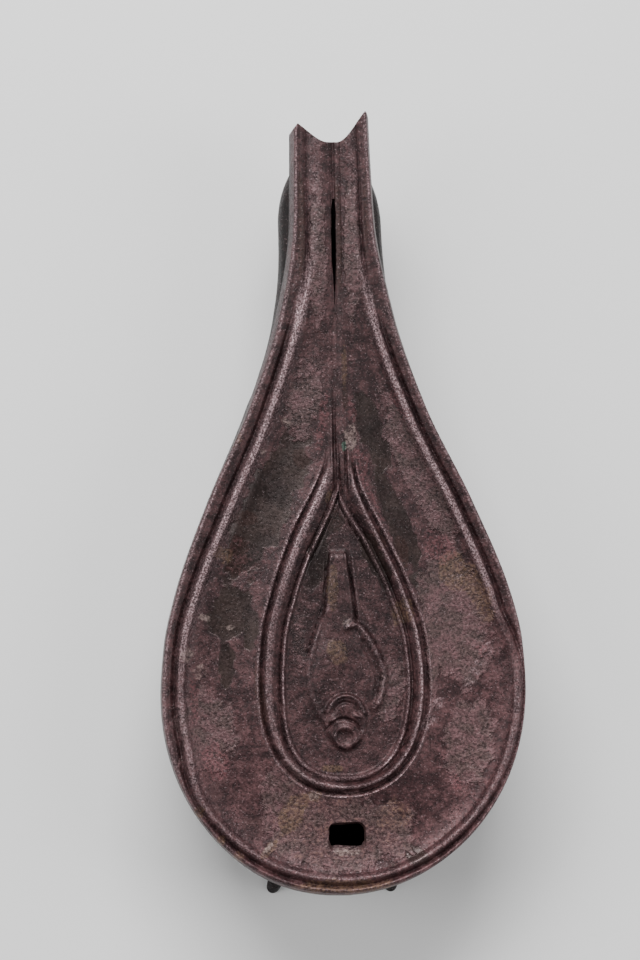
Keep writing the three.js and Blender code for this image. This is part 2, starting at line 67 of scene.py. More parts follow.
# Distance of the outer moulding's ridge from the edge
LEFT_RIDGE = [(-51, 3.3), (-40, 3.1), (-28, 2.6), (-12, 4.6), (13, 4.3), (48, 5.4), (90, 4.5)]
RIGHT_RIDGE = [(-51, 3.3), (-42, 3.1), (-28, 2.5), (-14, 2.1), (6, 2.0), (22, 4.8), (90, 4.8)]

# Double ridge round the inner field
DROP_WIDEST_Y = 2
DROP_HALF = 19.6
DROP_BACK = 26.4
DROP_FULLNESS = 2.3  # above 2 makes its round end fuller than an ellipse
DROP = [
    (DROP_WIDEST_Y, DROP_HALF), (13, 18.8), (25, 15.6), (38, 10.4), (45, 7.1),
    (49, 5.3), (53, 3.8), (58, 2.6), (68, 2.0), (DRAWN_END, 2.0),
]
DROP_MIDDLE = [(-25, 0.3), (4, 0.5), (25, 0), (42, -0.6), (50, -0.5), (62, 0.6), (DRAWN_END, 0.6)]
# From the crest of its outer strand to that of its inner one, and how much more near the point of the drop
GAP_ROUND_END = 2.3
GAP_LEFT = 4.2
GAP_RIGHT = 3.1
GAP_LEFT_TIP = 0.5
GAP_RIGHT_TIP = 0.9
OUTER_LINE = 2.35  # how far outside the main crest the thin outer line lies
OUTER_GROOVE = 1.55
LINE_CLOSES = 0.3
RIDGE_RISE = 1.45

# The outline leans a little: how far its edge lies to the right of an even one
LEAN = [
    (-52, -1.0), (-42, -0.4), (-28, 0), (-10, 0.35), (20, 0.75),
    (48, 0.3), (66, 0.05), (100, 0), (125, -0.5), (DRAWN_END, -0.8),
]

# Bowl and nozzle
NECK_SWELL = 0.9
TUBE_HALF = 13.0
TUBE_BLEND = 1.2
NOSE_START = 119.5
NOSE_LENGTH = 20.2
BOWL_DEPTH = 32.0
NECK_RISE = 7.0
WALL = 2.4
CEILING = 3.5
# Share of the full reach and share of the full depth, from the cover down to the middle of the bottom
BOWL_PROFILE = [
    (0.998, 0.13), (0.985, 0.3), (0.96, 0.48), (0.918, 0.66), (0.85, 0.82),
    (0.75, 0.93), (0.62, 0.985), (0.47, 1), (0.24, 1), (0, 1),
]
TUBE_PROFILE = [
    (0.7, 0.03), (0.92, 0.13), (1.0, 0.28), (0.98, 0.46), (0.9, 0.63),
    (0.77, 0.78), (0.6, 0.9), (0.42, 0.97), (0.2, 1), (0, 1),
]

# Openings
HOLE = {"cx": 0.8, "cy": -36.1, "long": 8.8, "wide": 5.4, "corner": 1.9}
HOLE_LIP = {"cx": 0.8, "cy": -37.2, "long": 10.0, "wide": 8.6, "corner": 2.4}
HOLE_WEAR = 0.5
LIP_WEAR = 0.2
LIP_LEVELS = (-3.6, -0.7)
NOTCH_BEVEL = 0.45
BEVEL_LEVELS = (-0.5, 1.7)
SLIT_RUN = (95.4, 125.2)
SLIT_X = -0.3
SLIT_HALF = 0.62
MOUTH_RADIUS = 4.5
MOUTH_LEVEL = -13.5
MOUTH_RUN = (126.0, 146.0)

# Feet: two splayed heels and one small foot under the root of the neck
HEEL_X = 15.3
HEEL_AWAY = -0.3
HEEL_Y = -48.9
HEEL_RADIUS = 1.7
HEEL_TOP_X = 12.4
HEEL_TOP_Y = -40.0
HEEL_TOP_LEVEL = -26.0
HEEL_TOP_RADIUS = 3.8
FRONT_Y = 62.0
FRONT_RADIUS = 2.4
FRONT_TOP_LEVEL = -28.5
FRONT_TOP_RADIUS = 4.0

# How the camera sees the cover
YAW_SLOPE = 0.087
PITCH_SLOPE = 0.087
ROLL = np.radians(0.9)
DISTANCE = 1.30
LENS_TRIM = 1.004
SCALE = 0.254 * MM  # one pixel of the 640 by 960 picture at the level of the cover
PICTURE_HEIGHT = 960
SENSOR_HEIGHT = 36.0
CENTRE = (320.0, 480.0)  # middle of the picture, in its pixels
ZERO_PIXEL = (342.3, 690.0)  # where the middle of the widest line shows

# The middle of the lamp's box in the drawing, which is the origin of the frame
SHIFT_X = 0.524
SHIFT_Y = NOTCH_Y + RIGHT_HORN[0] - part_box("lamp_body")[1][1] / MM


def smooth(low, high, t):
    u = np.clip((np.asarray(t, float) - low) / (high - low), 0, 1)
    return u * u * (3 - 2 * u)


def mix(a, b, t):
    return a + (b - a) * t


def hump(t):
    u = np.minimum(np.abs(t), 1)
    return (1 - u * u) ** 2


def curve_through(stations):
    """A smooth curve through the stations that never overshoots them, level at its start."""
    xs = np.array([s[0] for s in stations], float)
    ys = np.array([s[1] for s in stations], float)
    rise = np.diff(ys) / np.diff(xs)
    slope = np.zeros(len(xs))
    for i in range(1, len(xs) - 1):
        if rise[i - 1] * rise[i] > 0:
            slope[i] = 2 * rise[i - 1] * rise[i] / (rise[i - 1] + rise[i])
    slope[-1] = rise[-1] * 0.5

    def at(t):
        t = np.asarray(t, float)
        i = np.clip(np.searchsorted(xs, t, side="left") - 1, 0, len(xs) - 2)
        width = xs[i + 1] - xs[i]
        u = np.clip((t - xs[i]) / width, 0, 1)
        a = (2 * u**3 - 3 * u**2 + 1) * ys[i]
        b = (u**3 - 2 * u**2 + u) * width * slope[i]
        c = (3 * u**2 - 2 * u**3) * ys[i + 1]
        d = (u**3 - u**2) * width * slope[i + 1]
        return a + b + c + d

    return at


flank_half = curve_through(FLANK)
drop_flank_half = curve_through(DROP)


def cover_half(y):
    y = np.asarray(y, float)
    share = np.clip(-y / BACK_LENGTH, 0, 1)
    back = WIDEST_HALF * (1 - share**BACK_FULLNESS) ** (1 / BACK_FULLNESS)
    return np.where(y < 0, back, flank_half(np.maximum(y, 0)))


def drop_half_at(y):
    y = np.asarray(y, float)
    u = (DROP_WIDEST_Y - y) / DROP_BACK
    fall = np.minimum(np.maximum(u, 0), 1) ** DROP_FULLNESS
    back = np.where(u > 1, -1.0, DROP_HALF * (1 - fall) ** (1 / DROP_FULLNESS))
    return np.where(y >= DROP_WIDEST_Y, drop_flank_half(np.maximum(y, DROP_WIDEST_Y)), back)


lean_at = curve_through(LEAN)
drop_middle = curve_through(DROP_MIDDLE)
left_ridge = curve_through(LEFT_RIDGE)
right_ridge = curve_through(RIGHT_RIDGE)


def leaned(x, y):
    """The x of a point after the outline's lean, which fades out towards the middle of the cover."""
    half = np.maximum(cover_half(y), 4.0)
    return x + lean_at(y) * smooth(0.35, 0.85, np.abs(x) / half)


def ridge_place(x, y):
    return mix(left_ridge(y), right_ridge(y), smooth(-2, 2, x))


def inner_gap(x, y):
    """From the crest of the double ridge's outer strand to that of its inner one."""
    left = mix(GAP_ROUND_END, GAP_LEFT, smooth(-24, 0, y)) + GAP_LEFT_TIP * smooth(30, 44, y)
    right = mix(GAP_ROUND_END, GAP_RIGHT, smooth(-24, -5, y)) + GAP_RIGHT_TIP * smooth(36, 48, y)
    return mix(left, right, smooth(-6, 6, x))


# Fine relief of the inner field


def segment_distance(x, y, points):
    """Distance to a chain of points, and how far along the chain the nearest place is, from 0 to 1."""
    best = np.full(x.shape, 1e9)
    along = np.zeros(x.shape)
    runs = len(points) - 1
    for i in range(runs):
        ax, ay = points[i]
        bx, by = points[i + 1]
        dx, dy = bx - ax, by - ay
        t = np.clip(((x - ax) * dx + (y - ay) * dy) / (dx * dx + dy * dy), 0, 1)
        dist = np.hypot(x - ax - t * dx, y - ay - t * dy)
        nearer = dist < best
        best = np.where(nearer, dist, best)
        along = np.where(nearer, (i + t) / runs, along)
    return best, along


def arc(cx, cy, rx, ry, start, end, count=14):
    angles = np.radians(np.linspace(start, end, count))
    return [(cx + rx * np.cos(a), cy + ry * np.sin(a)) for a in angles]


BODY_LEFT = [
    (-5.0, 20.4), (-6.6, 16.7), (-8.2, 12.9), (-9.3, 9.1), (-10.1, 5.3),
    (-9.9, 1.5), (-8.8, -2.4), (-7.1, -6.2), (-5.4, -9.5),
]
BAND_LINE = [
    (-0.3, 15.5), (1.5, 16.6), (3.0, 17.0), (4.5, 15.7), (6.5, 12.6), (8.2, 9.5),
    (9.8, 5.6), (10.1, 3.4), (9.4, -0.2), (8.5, -2.9), (6.3, -5.8),
]
STEM_GROOVE = [(1.1, 34.6), (1.6, 30.0), (2.3, 25.4), (2.8, 21.0), (3.1, 18.2)]
STEM_EDGE = [(2.5, 34.0), (3.0, 28.0), (3.5, 22.0), (3.9, 18.6)]
BESIDE_STEM = [(-4.2, 33.0), (-4.4, 28.0), (-5.2, 21.5), (-7.2, 16.5), (-9.6, 9.5)]
PELLETS = ((-3.2, -7.3), (2.9, -6.3))


def relief_height(x, y):
    """An upright stem over a rounded body with a raised band on its right, and a boss at its foot."""
    x = x - 0.9 + 0.0052 * y
    radius = np.hypot((x + 0.1) / 10.4, (y - 4.0) / 14.4)
    body = 1.15 * np.sqrt(np.maximum(0, 1 - smooth(0.5, 1.02, radius) ** 1.4))
    stem_half = 2.35 + 0.1 * (35.2 - y)
    side = (x + 1.1) / stem_half
    stem_run = smooth(2, 16, y) * (1 - smooth(34.2, 35.7, y))
    stem = (1.35 - 0.45 * side**2) * (1 - smooth(0.8, 1.12, np.abs(side))) * stem_run
    z = np.maximum(body, stem)
    groove, _ = segment_distance(x, y, STEM_GROOVE)
    z = z - 0.7 * hump(groove / 0.55)
    edge, _ = segment_distance(x, y, STEM_EDGE)
    z = z + 0.45 * hump(edge / 0.6)
    band, along = segment_distance(x, y, BAND_LINE)
    fade = smooth(0, 0.06, along) * (1 - smooth(0.9, 1, along))
    z = z + 1.1 * hump(band / 1.3) * fade
    inside, _ = segment_distance(x, y, [(p[0] - 1.9, p[1] - 0.5) for p in BAND_LINE[4:9]])
    z = z - 0.7 * hump(inside / 1.2)
    left, _ = segment_distance(x, y, [(p[0] + 0.7, p[1]) for p in BODY_LEFT])
    z = z + 0.5 * hump(left / 0.9)
    left_groove, _ = segment_distance(x, y, [(p[0] + 1.9, p[1]) for p in BODY_LEFT[2:7]])
    z = z - 0.3 * hump(left_groove / 0.7)
    beside, _ = segment_distance(x, y, BESIDE_STEM)
    z = z - 0.45 * hump(beside / 0.55)
    left_shoulder = hump(np.hypot((x + 3.0) / 1.1, (y - 34.0) / 1.5))
    right_shoulder = hump(np.hypot((x - 0.6) / 0.9, (y - 34.2) / 1.4))
    z = z + 0.45 * np.clip(left_shoulder + right_shoulder, 0, 1)
    z = z + 0.4 * np.exp(-(((x + 2.0) / 3.0) ** 2) - ((y - 9.5) / 4.0) ** 2)
    # The boss: a domed oval with a raised arch, a hollow with two pellets below it, and a round button.
    oval = np.hypot((x + 0.1) / 5.7, (y + 7.6) / 7.2)
    z = z * (0.55 + 0.45 * smooth(0.8, 1.1, oval)) + 1.15 * (1 - smooth(0.8, 1.05, oval))
    arch, _ = segment_distance(x, y, arc(-0.1, -7.6, 5.1, 6.5, 18, 158))
    z = z + 0.75 * hump(arch / 0.8)
    below_arch, _ = segment_distance(x, y, arc(-0.1, -7.9, 3.7, 5.0, 22, 152))
    z = z - 0.5 * hump(below_arch / 0.7)
    z = z + 0.3 * hump(np.hypot((x + 0.2) / 2.8, (y + 4.2) / 2.2))
    for cx, cy in PELLETS:
        z = z + 0.75 * hump(np.hypot((x - cx) / 1.6, (y - cy) / 1.0))
    crescent, _ = segment_distance(x, y, arc(-0.7, -11.2, 4.4, 4.2, 22, 158))
    z = z - 0.75 * hump(crescent / 0.6)
    button = np.hypot(x + 0.4, y + 11.8)
    z = z + 0.6 * hump((button - 2.6) / 0.9) - 0.4 * (1 - smooth(0.8, 2.2, button))
    return z


def rim_groove(y):
    return mix(4.5, 2.9, smooth(98, 134, y))


def neck_height(x, y, d):
    """Two granular lobes with a smooth strip and a seam between them, and a flat rim outside each."""
    groove = rim_groove(y)
    lobe_end = cover_half(y) - groove
    soft = 1 - 0.6 * smooth(112, 134, y)
    z = -0.3 + 0.45 * (1 - smooth(groove - 1.2, groove, d)) - 0.3 * soft * hump((d - groove) / 0.9)
    z = z + 0.3 * hump((d - 0.55) / 0.6)
    z = z - 0.2 * hump((d - 1.6) / 0.9)
    for low, high in ((-lobe_end, -0.9), (1.5, lobe_end)):
        side = (2 * x - low - high) / (high - low)
        z = z + mix(0.45, 0.85, soft) * np.sqrt(np.maximum(0, 1 - np.abs(side) ** 2.2))
    z = z + 0.22 * hump((x - 0.9) / 1.3)
    z = z - 0.3 * hump((x + 0.25) / 0.55)
    return z


def closing(y):
    """The thin line outside the double ridge closes up to it near the point of the drop."""
    return 1 - LINE_CLOSES * smooth(40, 56, y)


def double_ridge(x, y, e):
    """Outer line, groove, main crest and inner strand, where e is the distance inside the main crest."""
    gap = inner_gap(x, y)
    near = closing(y)
    on_right = smooth(-3, 3, x)
    z = 0.4 * smooth(-6.0, -2.4 * near, e)
    z = z + 0.42 * hump((e + OUTER_LINE * near) / 0.55) - 0.4 * hump((e + OUTER_GROOVE * near) / 0.5)
    outer_half = mix(1.35, 1.0, on_right)
    inner_half = gap * mix(0.95, 0.8, on_right)
    z = z + mix(1.5, 1.35, on_right) * np.where(e < 0, hump(e / outer_half), hump(e / inner_half))
    z = z + 0.35 * on_right * hump(e / 0.5)
    z = z - 0.75 * smooth(0.5, gap - 0.8, e)
    z = z + 0.85 * hump((e - gap) / 0.75) - 0.3 * hump((e - gap + 0.95) / 0.4)
    z = z - 0.85 * smooth(gap - 0.1, gap + 1.2, e)
    z = z + 0.28 * smooth(26, 40, y) * (hump((e - gap - 1.4) / 0.45) - hump((e - gap - 0.85) / 0.35))
    return z


def cover_height(x, y, d, e):
    """Height of the cover, d being the distance from the edge and e that inside the main crest."""
    crest = ridge_place(x, y)
    right = smooth(2, 8, x)
    low = 1 - smooth(-30, -12, y)
    z = 0.3 * hump((d - 0.7) / 1.0) - 0.2 * (1 - smooth(0, 0.4, d))
    band = np.clip(d / np.maximum(crest - 1.5, 0.4), 0, 1)
    z = z + 0.2 * np.sin(np.pi * band) - 0.3 * smooth(0.3, 1.0, band)
    deep = mix(0.6, 0.4, right * (1 - smooth(8, 26, y))) * (1 - 0.65 * low)
    z = z - deep * hump((d - crest + 1.55) / 0.95)
    inner_side = mix(2.7, 1.9, low)
    fading = 1 - 0.7 * right * hump((y - 13) / 16)
    rise = np.where(d < crest, hump((d - crest) / 1.5), hump((d - crest) / inner_side))
    z = z + RIDGE_RISE * fading * rise
    # On the right flank the ridge stays away from the edge as it fades out below the widest part.
    z = z + 0.75 * right * smooth(-16, 4, y) * (1 - smooth(14, 24, y)) * hump((d - 5.6) / 2.2)
    z = z - 0.3 * right * smooth(5, 30, y) * hump((d - crest + 0.1) / 0.4)
    field_start = crest + 1.0
    share = np.clip((d - field_start) / np.maximum(1, d - e - 3.2 - field_start), 0, 1)
    opening = 1 - smooth(60, 96, y)
    z = z - (0.5 + 0.8 * opening) * np.sin(np.pi * share**0.62) ** 1.1
    z = z - 0.15 * smooth(0, 0.3, share)
    strand = 1 - smooth(50, 64, y)
    z = z + strand * double_ridge(x, y, e)
    # The rib comes down between two grooves to a point above the apex.
    rib_half = mix(0.7, 1.9, smooth(50, 66, y))
    z = z + 0.75 * smooth(50, 60, y) * hump((x - 0.75 - 0.4 * smooth(58, 70, y)) / rib_half)
    z = z - 0.55 * smooth(48, 54, y) * (1 - 0.85 * smooth(62, 82, y)) * hump((x + 0.95) / 0.6)
    z = z + 0.4 * smooth(50, 56, y) * hump((x + 1.8) / 0.5) * (1 - smooth(64, 80, y))
    z = z - 0.45 * smooth(48, 53, y) * hump((x - 1.75) / 0.5) * (1 - smooth(60, 68, y))
    z = z + 0.35 * smooth(50, 54, y) * hump((x - 2.45) / 0.4) * (1 - smooth(58, 63, y))
    inner = smooth(inner_gap(x, y) + 0.4, inner_gap(x, y) + 1.8, e) * strand
    z = z + inner * relief_height(x, y)
    return mix(z, neck_height(x, y, d), smooth(84, 108, y))


def field_noise(x, y, size, seed):
    """Smooth noise from -1 to 1 over the cover, one value for each point."""
    values = np.empty(x.size)
    flat_x, flat_y = x.ravel() / size, y.ravel() / size
    for i in range(x.size):
        values[i] = noise.noise((flat_x[i], flat_y[i], seed))
    return values.reshape(x.shape)


# Columns of the shell: each starts on the cover's edge and runs square to it as far as the middle line


def column(edge_x, y):
    step = 0.01
    middle_y = y * (BACK_LENGTH**2 - WIDEST_HALF**2) / BACK_LENGTH**2
    if y >= 0:
        slope = float(cover_half(y + step) - cover_half(y - step)) / (2 * step)
        middle_y = y + float(cover_half(y)) * (0 if y < step else slope)
    length = float(np.hypot(edge_x, y - middle_y))
    return {
        "side": float(np.sign(edge_x)),
        "edge": np.array([edge_x, y]),
        "middle": np.array([0.0, middle_y]),
        "outward": np.array([edge_x, y - middle_y]) / length,
        "length": length,
    }


def drop_crossing(col):
    inside, outside = col["length"], 0.0
    for _ in range(36):
        d = (inside + outside) / 2
        x, y = col["edge"] - col["outward"] * d
        if abs(x - float(drop_middle(y))) < drop_half_at(y):
            inside = d
        else:
            outside = d
    return (inside + outside) / 2


def spread(knots, counts):
    """Places between the knots, counts[i] steps in the i-th stretch."""
    places = []
    for low, high, count in zip(knots[:-1], knots[1:], counts):
        places.extend(low + (high - low) * k / count for k in range(count))
    places.append(knots[-1])
    return np.array(places)


RING_COUNTS = (26, 28, 14, 16, 18)


def ring_places(col, crossing):
    """Distances from the edge at which one column has points, from the middle line outwards."""
    length = col["length"]
    crest = float(ridge_place(col["edge"][0], col["edge"][1]))
    rest = length - crossing
    shrink = min(1.0, rest / 7.5)
    room = crossing - crest - 1.6
    widen = min(1.0, room / 7.0)
    inside_crest = length - crest - 1.8 * min(1.0, widen + 0.3)
    knots = [0, rest - 5.6 * shrink, rest + 3.4 * widen, inside_crest, length - crest + 1.5, length]
    s = spread(knots, RING_COUNTS)
    groove = float(rim_groove(col["edge"][1]))
    lobe = length - groove - 0.4
    neck_knots = [0, lobe * 0.36, lobe * 0.66, lobe * 0.84, length - groove + 0.9, length]
    neck = spread(neck_knots, RING_COUNTS)
    return length - mix(s, neck, smooth(84, 104, col["edge"][1]))


def tube_half(y):
    over = float(cover_half(y)) + NECK_SWELL * float(smooth(45, 88, y)) - TUBE_HALF
    return TUBE_HALF + TUBE_BLEND * np.log(1 + np.exp(over / TUBE_BLEND))


def bottom_level(y):
    return -BOWL_DEPTH + NECK_RISE * float(smooth(45, 130, y))


def bowl_reach(col, nose_angle):
    if nose_angle is not None:
        x = col["side"] * tube_half(NOSE_START) * np.cos(nose_angle)
        y = NOSE_START + NOSE_LENGTH * np.sin(nose_angle)
        return np.array([0.0, NOSE_START]), np.array([x, y])
    y = col["edge"][1]
    more = 0.0 if y < 0 else tube_half(y) - float(cover_half(y))
    return col["middle"], col["edge"] + col["outward"] * more


def make_columns(round_count, flank_count, nose_count):
    half = []
    for i in range(round_count):
        y = -BACK_LENGTH * float(np.cos(np.pi / 2 * i / round_count))
        half.append((float(cover_half(y)), y))
    for i in range(flank_count + 1):
        y = DRAWN_END * (i / flank_count)
        half.append((float(cover_half(y)), y))
    beyond = sum(1 for p in half if p[1] > NOSE_START)
    turns = beyond + nose_count

    def side_columns(side):
        made = []
        for i, (x, y) in enumerate(half):
            col = column(side * x, y)
            turn = i - (len(half) - beyond) + 1
            col["from"], col["to"] = bowl_reach(col, np.pi / 2 * turn / turns if turn > 0 else None)
            col["covered"] = True
            made.append(col)
        return made

    def end_columns(side):
        made = []
        for i in range(1, nose_count + 1):
            x = side * float(cover_half(DRAWN_END)) * (1 - i / nose_count)
            col = {"side": side, "covered": False}
            col["edge"] = np.array([x, DRAWN_END])
            col["outward"] = np.array([0.0, 1.0])
            col["from"], col["to"] = bowl_reach(col, np.pi / 2 * (beyond + i) / turns)
            if i == nose_count:
                col["to"][0] = 0.0
            made.append(col)
        return made

    left, left_end = side_columns(-1), end_columns(-1)
    return side_columns(1) + end_columns(1) + left_end[:-1][::-1] + left[1:][::-1]


class Shell:
    """Gathers faces, giving equal points one number."""

    def __init__(self):
        self.numbers = {}
        self.points = []
        self.faces = []

    def point(self, p):
        key = (round(p[0] * 1000), round(p[1] * 1000), round(p[2] * 1000))
        number = self.numbers.get(key)
        if number is None:
            number = len(self.points)
            self.numbers[key] = number
            self.points.append(p)
        return number

    def face(self, corners):
        kept = []
        for c in corners:
            if c not in kept:
                kept.append(c)
        if len(kept) > 2:
            self.faces.append(kept)

    def mesh(self, name, leans=False):
        data = bpy.data.meshes.new(name)
        spots = np.array(self.points, float)
        if leans:
            spots[:, 0] = leaned(spots[:, 0], spots[:, 1])
        placed = ((spots + (-SHIFT_X, -SHIFT_Y, FOOT_LEVEL)) * MM).tolist()
        data.from_pydata(placed, [], self.faces)
        data.validate()
        obj = bpy.data.objects.new(name, data)
        bpy.context.scene.collection.objects.link(obj)
        return obj


def fine_profile(profile, steps):
    """The profile with more points, on a smooth curve through its own."""
    points = [np.array([1.0, 0.0])] + [np.array(p, float) for p in profile]
    fine = []
    for i in range(1, len(points) - 1):
        before, a, b = points[i - 1], points[i], points[i + 1]
        after = points[i + 2] if i + 2 < len(points) else b
        for k in range(steps):
            t = k / steps
            square = (2 * before - 5 * a + 4 * b - after) * t**2
            cube = (3 * a - before - 3 * b + after) * t**3
            p = 0.5 * (2 * a + (b - before) * t + square + cube)
            fine.append((float(p[0]), float(min(1, p[1]))))
    fine.append(tuple(points[-1]))
    return fine


FINE_BOWL = fine_profile(BOWL_PROFILE, 3)
FINE_TUBE = fine_profile(TUBE_PROFILE, 3)


def bowl_rings(col, thickness, bowl, tube):
    start, end = col["from"], col["to"]
    reach = float(np.hypot(*(end - start)))
    share = (reach - thickness) / reach
    tubeness = 1.0 if start[1] == NOSE_START else float(smooth(72, 104, col["edge"][1]))
    top = -CEILING - 0.8 if thickness > 0 else -SLAB_DEPTH
    rings = []
    for wide, narrow in zip(bowl, tube):
        f = mix(wide[0], narrow[0], tubeness) * share
        g = mix(wide[1], narrow[1], tubeness)
        x, y = start + (end - start) * f
        rings.append((float(x), float(y), mix(top, bottom_level(y) + thickness, g)))
    return rings


def flare_at(y):
    low = mix(ROUND_FLARE, FLANK_FLARE, float(smooth(-50, -36, y)))
    return mix(low, NECK_FLARE, float(smooth(60, 92, y)))


# Share of the flare and level of the rings on the side of the slab
SLAB_SIDE = ((0.1, -0.35), (0.35, -1.2), (0.6, -2.2), (0.8, -3.4), (0.93, -4.3))


def make_body():
    columns = make_columns(112, 190, 16)
    covered = [c for c in columns if c["covered"]]
    xs, ys, ds, es = [], [], [], []
    for col in covered:
        crossing = drop_crossing(col)
        places = ring_places(col, crossing)
        x = col["edge"][0] - col["outward"][0] * places
        y = col["edge"][1] - col["outward"][1] * places
        x[0], y[0] = 0.0, col["middle"][1]
        middle_crossing = drop_crossing(column(abs(col["edge"][0]), col["edge"][1]))
        e = places - crossing
        e[0] = places[0] - middle_crossing
        xs.append(x)
        ys.append(y)
        ds.append(places)
        es.append(e)
    xs, ys, ds, es = map(np.array, (xs, ys, ds, es))
    zs = cover_height(xs, ys, ds, es)
    # The hand-made unevenness of an old casting: slow waves, and wear that nibbles the crests.
    zs = zs + 0.14 * field_noise(xs, ys, 14.0, 3.1) + 0.07 * field_noise(xs, ys, 4.0, 8.7)
    crest = ridge_place(xs, ys)
    on_strands = hump(es / 1.0) * (ys < 58) + hump((es - inner_gap(xs, ys)) / 0.9) * (ys < 58)
    on_ridge = np.clip(hump(ds - crest) + on_strands, 0, 1)
    zs = zs - 0.16 * on_ridge * np.clip(field_noise(xs, ys, 1.7, 5.5) * 2.4, 0, 1)
    crusty = patch_mask(xs.ravel(), ys.ravel(), CRUST_PATCHES, np.zeros(xs.size)).reshape(xs.shape)
    lumps = field_noise(xs, ys, 1.5, 12.3) + 0.6 * field_noise(xs, ys, 0.9, 15.1)
    zs = zs + (0.05 + 0.11 * crusty) * lumps
    zs[:, -1] = np.minimum(zs[:, -1], 0.1)
    shell = Shell()
    upper = {}
    for i, col in enumerate(covered):
        line = [shell.point((float(xs[i, k]), float(ys[i, k]), float(zs[i, k]))) for k in range(xs.shape[1])]
        upper[id(col)] = line
    lines = []
    for col in columns:
        flare = flare_at(col["edge"][1]) if col["covered"] else 0.0
        sides = []
        if col["covered"]:
            for share, level in SLAB_SIDE:
                x, y = col["edge"] + col["outward"] * flare * share
                sides.append(shell.point((float(x), float(min(DRAWN_END, y)), level)))
        x, y = col["edge"] + col["outward"] * flare
        foot = shell.point((float(x), float(min(DRAWN_END, y)), -SLAB_DEPTH))
        rings = [shell.point(p) for p in bowl_rings(col, 0, FINE_BOWL, FINE_TUBE)]
        lines.append({"col": col, "upper": upper.get(id(col), []) + sides, "lower": [foot] + rings})
    end_middle = shell.point((0.0, DRAWN_END, -2.0))
    count = len(lines)
    for i in range(count):
        a, b = lines[i], lines[(i + 1) % count]
        if a["col"]["covered"] and b["col"]["covered"]:
            up, vp = a["upper"] + a["lower"][:1], b["upper"] + b["lower"][:1]
            for k in range(len(up) - 1):
                shell.face((up[k], up[k + 1], vp[k + 1], vp[k]))
        else:
            shell.face((end_middle, a["lower"][0], b["lower"][0]))
        for k in range(len(a["lower"]) - 1):
            shell.face((a["lower"][k], a["lower"][k + 1], b["lower"][k + 1], b["lower"][k]))
    for line in lines:
        if line["col"]["covered"] and line["col"]["edge"][1] == DRAWN_END:
            chain = line["upper"] + line["lower"][:1]
            for k in range(len(chain) - 1):
                ends = (chain[k], chain[k + 1]) if line["col"]["side"] > 0 else (chain[k + 1], chain[k])
                shell.face((end_middle, *ends))
    return shell.mesh("lamp_casting", True), np.stack([leaned(xs, ys), ys, ds, es], axis=-1).reshape(-1, 4)


def make_reservoir():
    columns = make_columns(28, 48, 8)
    shell = Shell()
    lines = []
    for col in columns:
        start, end = col["from"], col["to"]
        reach = float(np.hypot(*(end - start)))
        tubeness = 1.0 if start[1] == NOSE_START else float(smooth(72, 104, col["edge"][1]))
        f = (reach - mix(WALL + 1.2, WALL + 4, tubeness)) / reach
        x, y = start + (end - start) * f
        points = [(float(start[0]), float(start[1]), -CEILING), (float(x), float(y), -CEILING)]
        points += bowl_rings(col, WALL, BOWL_PROFILE, TUBE_PROFILE)
        lines.append([shell.point(p) for p in points])
    for i in range(len(lines)):
        a, b = lines[i], lines[(i + 1) % len(lines)]
        for k in range(len(a) - 1):
            shell.face((a[k], a[k + 1], b[k + 1], b[k]))
    return shell.mesh("reservoir_cutter", True)


def loft(name, outline, low, upper_outline, high):
    shell = Shell()
    bottom = [shell.point((float(x), float(y), low)) for x, y in outline]
    top = [shell.point((float(x), float(y), high)) for x, y in upper_outline]
    shell.faces.append(bottom[::-1])
    shell.faces.append(top)
    for i in range(len(outline)):
        j = (i + 1) % len(outline)
        shell.faces.append([bottom[i], bottom[j], top[j], top[i]])
    return shell.mesh(name)


def prism(name, outline, low, high):
    return loft(name, outline, low, outline, high)


def rounded_rectangle(cx, cy, long, wide, corner, steps=8):
    points = []
    for quarter, (sx, sy) in enumerate(((1, 1), (-1, 1), (-1, -1), (1, -1))):
        for i in range(steps + 1):
            angle = np.pi / 2 * (quarter + i / steps)
            x = cx + sx * (long / 2 - corner) + corner * np.cos(angle)
            y = cy + sy * (wide / 2 - corner) + corner * np.sin(angle)
            points.append((x, y))
    return points


def worn_outline(points, amount):
    """The outline with its corners and sides nibbled a little."""
    moved = []
    for x, y in points:
        shift_x = amount * noise.noise((x / 1.3, y / 1.3, 4.0))
        shift_y = amount * noise.noise((x / 1.3, y / 1.3, 9.0))
        moved.append((x + shift_x, y + shift_y))
    return moved


def fishtail_edge(x):
    """The end of the neck rises from the notch to a horn's tip on each side and falls again beyond it."""
    rise, flat, reach = LEFT_HORN if x < NOTCH_X else RIGHT_HORN
    away = abs(x - NOTCH_X)
    t = min(1, max(0, (away - flat) / (reach - flat)))
    return NOTCH_Y + rise * t * t * (1.9 - 0.9 * t) - HORN_FALL * max(0, away - reach)


def fishtail_outline():
    xs = [-13.0, *np.linspace(NOTCH_X - LEFT_HORN[2], NOTCH_X + RIGHT_HORN[2], 120), 13.0]
    points = [(x, fishtail_edge(x)) for x in xs]
    return points + [(13, DRAWN_END + 6), (-13, DRAWN_END + 6)]


def slit_outline():
    points = []
    count = 60
    for side in (1, -1):
        for i in range(count + 1):
            t = i / count if side > 0 else 1 - i / count
            y = mix(*SLIT_RUN, t)
            half = mix(0.1, SLIT_HALF, float(smooth(0.05, 0.6, t))) * (1 - 0.45 * float(smooth(0.88, 1, t)))
            waver = 0.1 * noise.noise((0.0, y / 2.5, 2.5 + side)) + 0.05 * noise.noise((1.0, y / 0.9, side))
            points.append((SLIT_X + side * half + waver, y))
    return points


